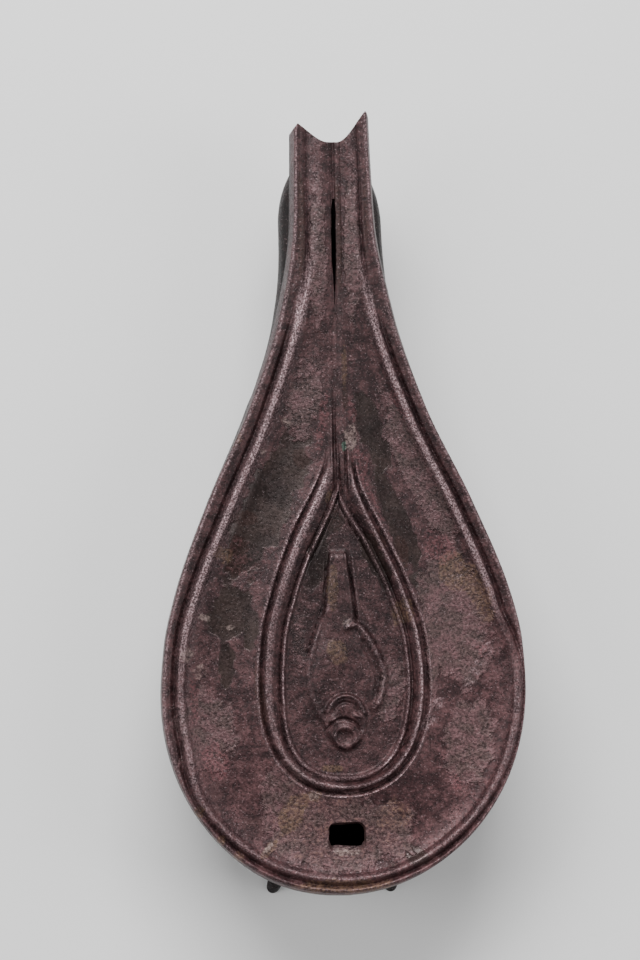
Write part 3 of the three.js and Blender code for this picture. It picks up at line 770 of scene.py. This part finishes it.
def leg(name, low, low_radius, top, top_radius, sides=40):
    shell = Shell()
    rings = []
    middle_radius = mix(low_radius, top_radius, 0.4)
    radii = ((0.0, low_radius * 0.86), (0.035, low_radius), (0.5, middle_radius), (1.0, top_radius))
    for share, radius in radii:
        cx, cy, cz = [mix(low[i], top[i], share) for i in range(3)]
        ring = []
        for k in range(sides):
            angle = 2 * np.pi * k / sides
            ring.append(shell.point((cx + radius * np.cos(angle), cy + radius * np.sin(angle), cz)))
        rings.append(ring)
    for a, b in zip(rings[:-1], rings[1:]):
        for k in range(sides):
            n = (k + 1) % sides
            shell.faces.append([a[k], a[n], b[n], b[k]])
    shell.faces.append(rings[0][::-1])
    shell.faces.append(rings[-1])
    return shell.mesh(name)


def mouth_cutter():
    shell = Shell()
    sides = 48
    rings = []
    for y in MOUTH_RUN:
        ring = []
        for k in range(sides):
            angle = 2 * np.pi * k / sides
            level = MOUTH_LEVEL + MOUTH_RADIUS * np.sin(angle)
            ring.append(shell.point((MOUTH_RADIUS * np.cos(angle), y, level)))
        rings.append(ring)
    near, far = rings
    for k in range(sides):
        n = (k + 1) % sides
        shell.faces.append([near[n], near[k], far[k], far[n]])
    shell.faces.append(near)
    shell.faces.append(far[::-1])
    return shell.mesh("mouth_cutter")


def combine(target, tool, operation):
    modifier = target.modifiers.new(tool.name, "BOOLEAN")
    modifier.operation = operation
    modifier.object = tool
    modifier.solver = "MANIFOLD"
    bpy.context.view_layer.update()
    evaluated = target.evaluated_get(bpy.context.evaluated_depsgraph_get())
    result = bpy.data.meshes.new_from_object(evaluated)
    target.modifiers.clear()
    old = target.data
    target.data = result
    bpy.data.meshes.remove(old)
    mesh = tool.data
    bpy.data.objects.remove(tool)
    bpy.data.meshes.remove(mesh)


# Patches of the patina, each with its place, half sizes, turn and strength.
# Places and half sizes are in pixels of the 640 by 960 picture, turns are in degrees.

SMOOTH_PATCHES = [
    ((268, 505), (26, 95), 26, 1), ((232, 612), (22, 34), 20, 1), ((318, 560), (14, 40), 10, 0.6),
    ((373, 430), (15, 46), -18, 1), ((398, 520), (13, 62), -22, 1), ((425, 582), (20, 10), 20, 0.8),
    ((228, 664), (9, 26), 0, 1), ((252, 632), (8, 24), 8, 0.9), ((218, 796), (20, 26), 30, 0.4),
    ((254, 826), (20, 22), 40, 0.4), ((440, 820), (12, 24), -30, 0.4), ((415, 852), (20, 12), 30, 0.6),
    ((284, 268), (5, 60), -6, 0.5), ((376, 560), (10, 40), -24, 0.8),
]
CRUST_PATCHES = [
    ((418, 470), (17, 95), -25, 1), ((455, 620), (38, 75), -12, 0.9), ((433, 640), (9, 60), 0, 1),
    ((340, 832), (82, 42), 0, 1), ((470, 740), (30, 50), 10, 0.9), ((205, 730), (34, 50), -14, 0.8),
    ((318, 250), (10, 80), 0, 0.9), ((352, 250), (10, 80), 0, 0.9), ((306, 400), (22, 50), 12, 0.6),
    ((285, 790), (24, 34), 0, 0.9), ((392, 690), (16, 40), 10, 0.8), ((300, 640), (10, 40), 0, 0.5),
]
OCHRE_PATCHES = [
    ((292, 814), (13, 24), 24, 0.9), ((345, 830), (92, 46), 0, 0.36), ((270, 847), (12, 4), -48, 1),
    ((315, 793), (7, 4), 0, 1), ((333, 767), (12, 4), 0, 0.8), ((329, 495), (3, 8), 20, 0.8),
    ((333, 590), (6, 24), 0, 0.9), ((343, 884), (70, 9), 0, 0.6), ((338, 652), (12, 14), 0, 0.9),
    ((200, 810), (6, 7), 0, 0.9), ((222, 838), (5, 5), 0, 0.8),
    ((240, 855), (6, 6), 0, 0.8), ((455, 570), (18, 24), -20, 0.7), ((405, 610), (14, 18), 10, 0.6),
    ((344, 370), (4, 26), 0, 0.7), ((478, 590), (12, 40), -20, 0.6), ((392, 812), (26, 26), 0, 0.45),
    ((225, 556), (12, 10), 30, 0.7), ((235, 440), (8, 12), 20, 0.5), ((262, 470), (12, 18), 20, 0.3),
]
PINK_PATCHES = [
    ((218, 760), (14, 20), 0, 0.9), ((352, 410), (5, 12), 0, 1), ((361, 462), (9, 16), -15, 1),
    ((458, 780), (5, 10), 0, 0.9), ((482, 650), (5, 10), 0, 0.8), ((440, 545), (18, 22), -20, 0.6),
    ((322, 420), (6, 40), 8, 0.6), ((300, 530), (10, 40), 26, 0.4), ((195, 700), (7, 30), 0, 0.6),
    ((400, 400), (9, 30), -20, 0.5), ((372, 500), (5, 34), -24, 0.6), ((245, 560), (26, 30), 20, 0.4),
]
PALE_PATCHES = [
    ((187, 655), (8, 10), 0, 0.6), ((201, 672), (9, 12), 0, 0.4), ((230, 627), (8, 3), 0, 0.9),
    ((206, 618), (7, 4), 20, 0.8), ((350, 436), (8, 18), 0, 0.55), ((286, 422), (7, 4), 30, 0.6),
    ((262, 452), (8, 5), 10, 0.5), ((346, 620), (5, 8), 0, 0.5), ((269, 846), (9, 2.5), -48, 0.9),
    ((314, 795), (5, 4), 0, 0.7), ((347, 848), (16, 4), 0, 1),
]
BROWN_PATCHES = [
    ((338, 238), (4, 66), 0, 1), ((301, 225), (5, 75), 0, 0.7), ((366, 215), (5, 50), 0, 0.5),
    ((245, 518), (16, 8), 0, 0.9), ((238, 556), (12, 26), 10, 0.8), ((300, 458), (10, 14), 0, 0.8),
    ((335, 520), (12, 14), 0, 0.9), ((402, 552), (8, 20), -10, 0.8), ((380, 540), (8, 14), -24, 0.6),
    ((262, 700), (6, 40), -8, 0.7), ((345, 396), (3, 14), 0, 0.8),
]
GREEN_PATCHES = [((344, 446), (3, 5), 0, 1)]
SCRATCHES = [((489, 645), (470, 680)), ((438, 700), (425, 725))]


def seen_place(px, py):
    """The place on the cover that shows at a pixel."""
    across, down = px - ZERO_PIXEL[0], py - ZERO_PIXEL[1]
    x = across * np.cos(ROLL) - down * np.sin(ROLL)
    y = -across * np.sin(ROLL) - down * np.cos(ROLL)
    return x * SCALE / MM, y * SCALE / MM


def patch_mask(x, y, patches, ragged):
    mask = np.zeros(x.shape)
    for (px, py), (half_x, half_y), turn, strength in patches:
        cx, cy = seen_place(px, py)
        a = np.radians(turn)
        u = ((x - cx) * np.cos(a) - (y - cy) * np.sin(a)) / (half_x * SCALE / MM)
        v = ((x - cx) * np.sin(a) + (y - cy) * np.cos(a)) / (half_y * SCALE / MM)
        mask = np.maximum(mask, strength * (1 - smooth(0.55, 1.25, np.hypot(u, v) + 0.3 * ragged)))
    return mask


def bend(mesh, places, rounds):
    """How strongly the surface bulges at each vertex, above 0 on crests and below 0 in grooves."""
    normals = np.empty(len(mesh.vertices) * 3)
    mesh.vertex_normals.foreach_get("vector", normals)
    normals = normals.reshape(-1, 3)
    pairs = np.empty(len(mesh.edges) * 2, int)
    mesh.edges.foreach_get("vertices", pairs)
    a, b = pairs.reshape(-1, 2).T
    apart = places[a] - places[b]
    length = np.maximum(np.linalg.norm(apart, axis=1), 0.05)
    count = np.bincount(a, minlength=len(places)) + np.bincount(b, minlength=len(places))
    value = np.bincount(a, (normals[a] * apart).sum(axis=1) / length, len(places))
    value += np.bincount(b, -(normals[b] * apart).sum(axis=1) / length, len(places))
    value /= np.maximum(count, 1)
    for _ in range(rounds):
        around = np.bincount(a, value[b], len(places)) + np.bincount(b, value[a], len(places))
        value = 0.5 * value + 0.5 * around / np.maximum(count, 1)
    return value


def measured(x, y, known):
    """Distance from the edge and distance inside the double ridge, taken from the nearest known place."""
    tree = kdtree.KDTree(len(known))
    for i, (kx, ky, _, _) in enumerate(known):
        tree.insert((kx, ky, 0), i)
    tree.balance()
    nearest = [tree.find((px, py, 0))[1] for px, py in zip(x, y)]
    return known[nearest, 2], known[nearest, 3]


def crest_wear_and_highlights(x, y, d, e):
    """Where the crests are worn bright, with painted highlights along the crests, the rim's edge and the
    neck's lobes.
    """
    right = smooth(-1, 1, x)
    crest = ridge_place(x, y)
    gap = inner_gap(x, y)
    near = closing(y)
    strand = 1 - smooth(50, 58, y)
    ridge_left = (0.45 + 0.55 * smooth(2, 22, y)) * hump((d - crest - 0.35) / 2.1)
    ridge_right = (0.35 + 0.65 * smooth(12, 32, y)) * hump((d - crest - 0.2) / 1.6)
    ridge_right = ridge_right * (1 - 0.8 * hump((y - 13) / 16))
    lines = mix(ridge_left, ridge_right, right) * (0.55 + 0.45 * smooth(-50, -30, y))
    lines = lines * (1 - 0.85 * smooth(94, 116, y))
    main = mix((0.4 + 0.6 * smooth(22, 38, y)) * hump((e - 0.3) / 1.5), hump((e - 0.05) / 0.6), right)
    outer = (0.35 + 0.5 * smooth(10, 35, y)) * hump((e + OUTER_LINE * near) / 0.6)
    inner = (0.4 + 0.6 * (1 - smooth(-22, -6, y))) * hump((e - gap) / 0.8)
    for line in (main, outer, inner):
        lines = np.maximum(lines, line * strand)
    edge = (0.2 + 0.3 * smooth(-40, -10, y)) * hump((d - 0.5) / 0.8)
    lobes = 0.12 * smooth(95, 108, y) * hump((d - rim_groove(y) - 1.2) / 1.2)
    return np.maximum(np.maximum(lines, edge), lobes)


def shade_of(x, y, d, e):
    """Painted light and shade: darker towards the neck and in the inner field, and lighter at the round end's
    edge.
    """
    shade = smooth(60, -50, y - 0.4 * x)
    shade = shade - 0.4 * smooth(0, 1.5, e - inner_gap(x, y)) * (1 - smooth(48, 54, y))
    far_end = 1 - smooth(-46, -36, y)
    return shade + far_end * mix(0.3, -0.35, smooth(3.5, 5.5, d))


# The walls and the underside are darker than the cover by this much
WALL_SHADE = 1.1


def store_masks(obj, known):
    """Writes where each kind of patina, wear, painted highlight and painted shade lies, as numbers on the
    vertices.
    """
    mesh = obj.data
    places = np.empty(len(mesh.vertices) * 3)
    mesh.vertices.foreach_get("co", places)
    places = places.reshape(-1, 3) / MM + (SHIFT_X, SHIFT_Y, -FOOT_LEVEL)
    x, y, z = places.T
    ragged = field_noise(x, y, 2.6, 4.4) + 0.6 * field_noise(x, y, 1.1, 9.3)
    on_cover = smooth(-4.5, -2.5, z)
    bulge = bend(mesh, places, 2)
    d, e = measured(x, y, known)
    crests = crest_wear_and_highlights(x, y, d, e)
    scratch = np.zeros(x.shape)
    scratch_edge = np.zeros(x.shape)
    for (ax, ay), (bx, by) in SCRATCHES:
        away, _ = segment_distance(x, y, [seen_place(ax, ay), seen_place(bx, by)])
        scratch = np.maximum(scratch, hump(away / 0.6))
        scratch_edge = np.maximum(scratch_edge, 0.6 * hump((away - 0.8) / 0.4))
    # Convex places and crest lines: real wear, and painted highlights on them.
    rubbed_and_highlit = 0.6 * smooth(0.06, 0.3, bulge) + 0.8 * crests
    masks = {
        "smooth_skin": patch_mask(x, y, SMOOTH_PATCHES, ragged) * on_cover,
        "crust": np.maximum(patch_mask(x, y, CRUST_PATCHES, ragged) * on_cover, 0.35 * (1 - on_cover)),
        "ochre": patch_mask(x, y, OCHRE_PATCHES, ragged),
        "pink": patch_mask(x, y, PINK_PATCHES, ragged) * on_cover,
        "pale": patch_mask(x, y, PALE_PATCHES, ragged) * on_cover,
        "brown": patch_mask(x, y, BROWN_PATCHES, ragged) * on_cover,
        "verdigris": patch_mask(x, y, GREEN_PATCHES, ragged * 0.3) * on_cover,
        "worn_and_highlit": np.clip(np.maximum(rubbed_and_highlit, scratch_edge), 0, 1) * on_cover,
        # Painted shade in the grooves and along the scratches.
        "hollow": np.maximum(smooth(0.05, 0.28, -bulge), scratch) * on_cover,
        # Painted light and shade over the cover, and painted shade on the walls and underside.
        "light_side": (shade_of(x, y, d, e) + WALL_SHADE) * on_cover - WALL_SHADE,
    }
    for name, values in masks.items():
        layer = mesh.attributes.new(name, "FLOAT", "POINT")
        layer.data.foreach_set("value", values.astype(np.float32))


# Patina material


class Web:
    """Short ways to add shader nodes and to join them."""

    def __init__(self, material):
        self.tree = material.node_tree
        self.tree.nodes.clear()
        self.place = self.tree.nodes.new("ShaderNodeTexCoord").outputs["Object"]

    def put(self, socket, value):
        if isinstance(value, bpy.types.NodeSocket):
            self.tree.links.new(value, socket)
        else:
            socket.default_value = value

    def sum(self, operation, a, b=0.0, clamp=False):
        node = self.tree.nodes.new("ShaderNodeMath")
        node.operation = operation
        node.use_clamp = clamp
        self.put(node.inputs[0], a)
        self.put(node.inputs[1], b)
        return node.outputs[0]

    def span(self, value, low, high, to_low=0.0, to_high=1.0):
        node = self.tree.nodes.new("ShaderNodeMapRange")
        node.interpolation_type = "SMOOTHSTEP"
        for socket, number in zip(node.inputs, (value, low, high, to_low, to_high)):
            self.put(socket, number)
        return node.outputs[0]

    def blend(self, share, a, b):
        node = self.tree.nodes.new("ShaderNodeMix")
        node.data_type = "RGBA"
        self.put(node.inputs["Factor"], share)
        self.put(node.inputs["A"], a)
        self.put(node.inputs["B"], b)
        return node.outputs["Result"]

    def scaled(self, colour, factor):
        node = self.tree.nodes.new("ShaderNodeVectorMath")
        node.operation = "SCALE"
        self.put(node.inputs["Vector"], colour)
        self.put(node.inputs["Scale"], factor)
        return node.outputs["Vector"]

    def mask(self, name):
        node = self.tree.nodes.new("ShaderNodeAttribute")
        node.attribute_name = name
        return node.outputs["Fac"]

    def grains(self, size, detail=2.0, roughness=0.55, shift=0.0):
        """Noise from 0 to 1 whose lumps are about the given size in millimetres."""
        move = self.tree.nodes.new("ShaderNodeVectorMath")
        self.put(move.inputs[0], self.place)
        self.put(move.inputs[1], (shift, shift * 0.7, shift * 1.3))
        node = self.tree.nodes.new("ShaderNodeTexNoise")
        self.put(node.inputs["Vector"], move.outputs[0])
        self.put(node.inputs["Scale"], 1 / (size * MM))
        self.put(node.inputs["Detail"], detail)
        self.put(node.inputs["Roughness"], roughness)
        return node.outputs["Fac"]

    def pits(self, size):
        node = self.tree.nodes.new("ShaderNodeTexVoronoi")
        self.put(node.inputs["Vector"], self.place)
        self.put(node.inputs["Scale"], 1 / (size * MM))
        return node.outputs["Distance"]


def srgb(red, green, blue):
    """A colour as a paint chart gives it, made linear."""
    parts = [c / 255 for c in (red, green, blue)]
    return tuple(c / 12.92 if c <= 0.04045 else ((c + 0.055) / 1.055) ** 2.4 for c in parts) + (1,)


SKIN_DARK = srgb(58, 31, 34)
SKIN_LIGHT = srgb(106, 71, 73)
SMOOTH_DARK = srgb(50, 36, 33)
SMOOTH_GREY = srgb(76, 60, 55)
CRUST_PINK = srgb(122, 88, 91)
CRUST_GREY = srgb(100, 78, 76)
OCHRE = srgb(124, 98, 76)
PINK = srgb(124, 76, 80)
PALE = srgb(158, 136, 130)
BROWN = srgb(68, 40, 34)
VERDIGRIS = srgb(84, 118, 102)
WORN_AND_HIGHLIGHT = srgb(186, 158, 162)
DIRT_AND_SHADE = srgb(17, 10, 11)


def patina_material():
    material = bpy.data.materials.new("old_bronze_patina")
    material.use_nodes = True
    web = Web(material)
    broad = web.grains(11, 3, 0.6)
    middle = web.grains(3.2, 3, 0.6, 0.4)
    grain = web.grains(0.75, 3, 0.65, 0.9)
    speck = web.grains(0.42, 1, 0.5, 1.7)
    edge_noise = web.sum("ADD", web.sum("MULTIPLY", middle, 0.5), web.sum("MULTIPLY", grain, 0.5))

    def ragged(name, reach=0.75):
        """The stored mask with its edge broken up by the grain."""
        shift = web.sum("MULTIPLY", web.sum("SUBTRACT", edge_noise, 0.5), reach)
        return web.span(web.sum("ADD", web.mask(name), shift), 0.34, 0.62)

    smooth_skin = ragged("smooth_skin")
    crust = ragged("crust", 0.9)
    ochre = ragged("ochre", 1.1)
    pink = ragged("pink", 1.2)
    pale = ragged("pale", 1.3)
    brown = ragged("brown", 1.0)
    green = ragged("verdigris", 0.5)
    worn_and_highlit = web.mask("worn_and_highlit")
    hollow = web.mask("hollow")

    colour = web.blend(web.span(middle, 0.35, 0.68), SKIN_DARK, SKIN_LIGHT)
    crust_colour = web.blend(web.span(middle, 0.35, 0.65), CRUST_GREY, CRUST_PINK)
    colour = web.blend(web.sum("MULTIPLY", crust, web.span(grain, 0.3, 0.6, 0.35, 0.9)), colour, crust_colour)
    smooth_colour = web.blend(web.span(broad, 0.4, 0.65), SMOOTH_DARK, SMOOTH_GREY)
    bare = web.sum("MULTIPLY", smooth_skin, web.span(crust, 0, 1, 1, 0.3))
    colour = web.blend(web.sum("MULTIPLY", bare, 0.85), colour, smooth_colour)
    colour = web.blend(web.sum("MULTIPLY", brown, 0.7), colour, BROWN)
    colour = web.blend(web.sum("MULTIPLY", ochre, web.span(grain, 0.35, 0.6, 0.15, 0.6)), colour, OCHRE)
    colour = web.blend(web.sum("MULTIPLY", pink, web.span(grain, 0.35, 0.6, 0.1, 0.6)), colour, PINK)
    colour = web.blend(web.sum("MULTIPLY", pale, web.span(grain, 0.35, 0.6, 0.2, 0.8)), colour, PALE)
    colour = web.blend(web.sum("MULTIPLY", green, 0.8), colour, VERDIGRIS)
    calm = web.span(bare, 0, 1, 1, 0.45)
    uneven = web.sum("SUBTRACT", web.span(grain, 0.3, 0.7), 0.5)
    contrast = web.sum("MULTIPLY", uneven, web.sum("MULTIPLY", calm, 0.9))
    colour = web.scaled(colour, web.sum("ADD", contrast, 1.0))
    # Painted light and shade: the colour is darkened or lightened by the light_side mask.
    tone = web.sum("ADD", web.sum("MULTIPLY", web.mask("light_side"), 0.26), 0.36)
    colour = web.scaled(colour, tone)
    # Painted shade darkens the grooves and scratches; the same dark colour also marks the pits below.
    colour = web.blend(web.sum("MULTIPLY", hollow, 0.45), colour, DIRT_AND_SHADE)
    # Worn crests lightened, which is also a painted highlight along them.
    bright = web.sum("MULTIPLY", worn_and_highlit, web.span(speck, 0.38, 0.66, 0.08, 0.75))
    colour = web.blend(bright, colour, WORN_AND_HIGHLIGHT)
    # Light flecks: bare metal specks, and painted glints.
    flecks_and_glints = web.sum("MULTIPLY", web.span(speck, 0.62, 0.76), web.sum("MULTIPLY", calm, 0.22))
    colour = web.blend(flecks_and_glints, colour, WORN_AND_HIGHLIGHT)
    pits = web.sum("MULTIPLY", web.span(web.pits(1.15), 0.16, 0.3, 1, 0), web.span(grain, 0.42, 0.56))
    colour = web.blend(web.sum("MULTIPLY", pits, 0.6), colour, DIRT_AND_SHADE)

    rough = web.sum("ADD", web.span(bare, 0, 1, 0.5, 0.36), web.span(grain, 0.3, 0.7, -0.08, 0.1))
    rough = web.sum("SUBTRACT", rough, web.sum("MULTIPLY", web.sum("ADD", bright, flecks_and_glints), 0.16), True)

    height = web.sum("ADD", web.sum("MULTIPLY", grain, 0.6), web.sum("MULTIPLY", speck, 0.2))
    height = web.sum("ADD", height, web.sum("MULTIPLY", web.grains(1.7, 2, 0.5, 2.3), 0.5))
    rougher = web.sum("ADD", web.span(crust, 0, 1, 0.7, 1.25), web.span(bare, 0, 1, 0, -0.45))
    height = web.sum("MULTIPLY", height, rougher)
    height = web.sum("SUBTRACT", height, web.sum("MULTIPLY", pits, 0.35))
    height = web.sum("ADD", height, web.sum("MULTIPLY", crust, 0.35))
    bump = web.tree.nodes.new("ShaderNodeBump")
    bump.inputs["Strength"].default_value = 0.75
    bump.inputs["Distance"].default_value = 0.4 * MM
    web.put(bump.inputs["Height"], height)

    shader = web.tree.nodes.new("ShaderNodeBsdfPrincipled")
    web.put(shader.inputs["Base Color"], colour)
    web.put(shader.inputs["Metallic"], web.sum("ADD", web.sum("MULTIPLY", bright, 0.3), 0.5))
    web.put(shader.inputs["Roughness"], rough)
    web.put(shader.inputs["Normal"], bump.outputs["Normal"])
    output = web.tree.nodes.new("ShaderNodeOutputMaterial")
    web.tree.links.new(shader.outputs["BSDF"], output.inputs["Surface"])
    return material


# The lamp: body, feet and openings

lamp, cover_places = make_body()
for side in (-1, 1):
    heel_low = (side * HEEL_X + HEEL_AWAY, HEEL_Y, -FOOT_LEVEL)
    heel_top = (side * HEEL_TOP_X, HEEL_TOP_Y, HEEL_TOP_LEVEL)
    combine(lamp, leg("heel", heel_low, HEEL_RADIUS, heel_top, HEEL_TOP_RADIUS), "UNION")
front_low = (0, FRONT_Y, -FOOT_LEVEL)
front_top = (0, FRONT_Y, FRONT_TOP_LEVEL)
combine(lamp, leg("front_foot", front_low, FRONT_RADIUS, front_top, FRONT_TOP_RADIUS), "UNION")
notch = fishtail_outline()
bevelled_notch = [(x, y - NOTCH_BEVEL) for x, y in notch]
combine(lamp, prism("fishtail_cutter", notch, -FOOT_LEVEL - 5, 10), "DIFFERENCE")
notch_cutter = loft("notch_cutter", notch, BEVEL_LEVELS[0], bevelled_notch, BEVEL_LEVELS[1])
combine(lamp, notch_cutter, "DIFFERENCE")
combine(lamp, make_reservoir(), "DIFFERENCE")
hole_outline = worn_outline(rounded_rectangle(**HOLE), HOLE_WEAR)
hole_lip = worn_outline(rounded_rectangle(**HOLE_LIP), LIP_WEAR)
combine(lamp, prism("hole_cutter", hole_outline, -CEILING - 3, 5), "DIFFERENCE")
combine(lamp, loft("lip_cutter", hole_outline, LIP_LEVELS[0], hole_lip, LIP_LEVELS[1]), "DIFFERENCE")
combine(lamp, prism("slit_cutter", slit_outline(), -CEILING - 2, 4), "DIFFERENCE")
combine(lamp, mouth_cutter(), "DIFFERENCE")
lamp.data.materials.clear()
lamp.data.materials.append(patina_material())
for polygon in lamp.data.polygons:
    polygon.use_smooth = True
lamp.data.set_sharp_from_angle(angle=np.radians(50))
store_masks(lamp, cover_places)
lamp.name = "lamp_casting"
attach(lamp, "root")
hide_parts("lamp_body")


# Floor


def make_floor():
    data = bpy.data.meshes.new("floor")
    r = 3.0
    data.from_pydata([(-r, -r, 0), (r, -r, 0), (r, r, 0), (-r, r, 0)], [], [(0, 1, 2, 3)])
    obj = bpy.data.objects.new("floor", data)
    bpy.context.scene.collection.objects.link(obj)
    material = bpy.data.materials.new("floor_paper")
    material.use_nodes = True
    shader = material.node_tree.nodes["Principled BSDF"]
    shader.inputs["Base Color"].default_value = (0.8, 0.8, 0.8, 1)
    shader.inputs["Roughness"].default_value = 0.9
    obj.data.materials.append(material)
    return obj


make_floor()


# Camera: looks down on the lamp, a little from its left and from its round end


across = (CENTRE[0] - ZERO_PIXEL[0]) * SCALE
upward = (ZERO_PIXEL[1] - CENTRE[1]) * SCALE
aim_x = across * np.cos(ROLL) + upward * np.sin(ROLL) - SHIFT_X * MM
aim_y = -across * np.sin(ROLL) + upward * np.cos(ROLL) - SHIFT_Y * MM
target = Vector((aim_x, aim_y, FOOT_LEVEL * MM))
back = Vector((-YAW_SLOPE, -PITCH_SLOPE, 1)).normalized()
up_hint = Vector((np.sin(ROLL), np.cos(ROLL), 0))
right = up_hint.cross(back).normalized()
up = back.cross(right)
camera_data = bpy.data.cameras.new("camera")
camera_data.sensor_fit = "VERTICAL"
camera_data.sensor_height = SENSOR_HEIGHT
camera_data.lens = SENSOR_HEIGHT * DISTANCE / (PICTURE_HEIGHT * SCALE) * LENS_TRIM
camera_data.clip_end = 20
camera = bpy.data.objects.new("camera", camera_data)
rotation = Matrix((right, up, back)).transposed().to_4x4()
camera.matrix_world = Matrix.Translation(target + back * DISTANCE) @ rotation
bpy.context.scene.collection.objects.link(camera)
bpy.context.scene.camera = camera


# Light: a soft box above the neck, a weaker one on each side, and a pale surround


def soft_box(name, place, aim, size, power):
    data = bpy.data.lights.new(name, "AREA")
    data.shape = "RECTANGLE"
    data.size, data.size_y = size
    data.energy = power
    obj = bpy.data.objects.new(name, data)
    obj.location = place
    direction = Vector(aim) - Vector(place)
    obj.rotation_euler = direction.to_track_quat("-Z", "Y").to_euler()
    bpy.context.scene.collection.objects.link(obj)


soft_box("key_box", (-0.15, 0.75, 0.85), (0, 0, 0), (0.9, 0.5), 21)
soft_box("left_box", (-0.8, 0.0, 0.5), (0, 0, 0), (0.4, 0.9), 4)
soft_box("right_box", (0.85, -0.1, 0.6), (0, 0, 0), (0.4, 0.9), 5)
world = bpy.data.worlds.new("studio")
world.use_nodes = True
world.node_tree.nodes["Background"].inputs["Color"].default_value = (1, 1, 1, 1)
world.node_tree.nodes["Background"].inputs["Strength"].default_value = 0.33
bpy.context.scene.world = world
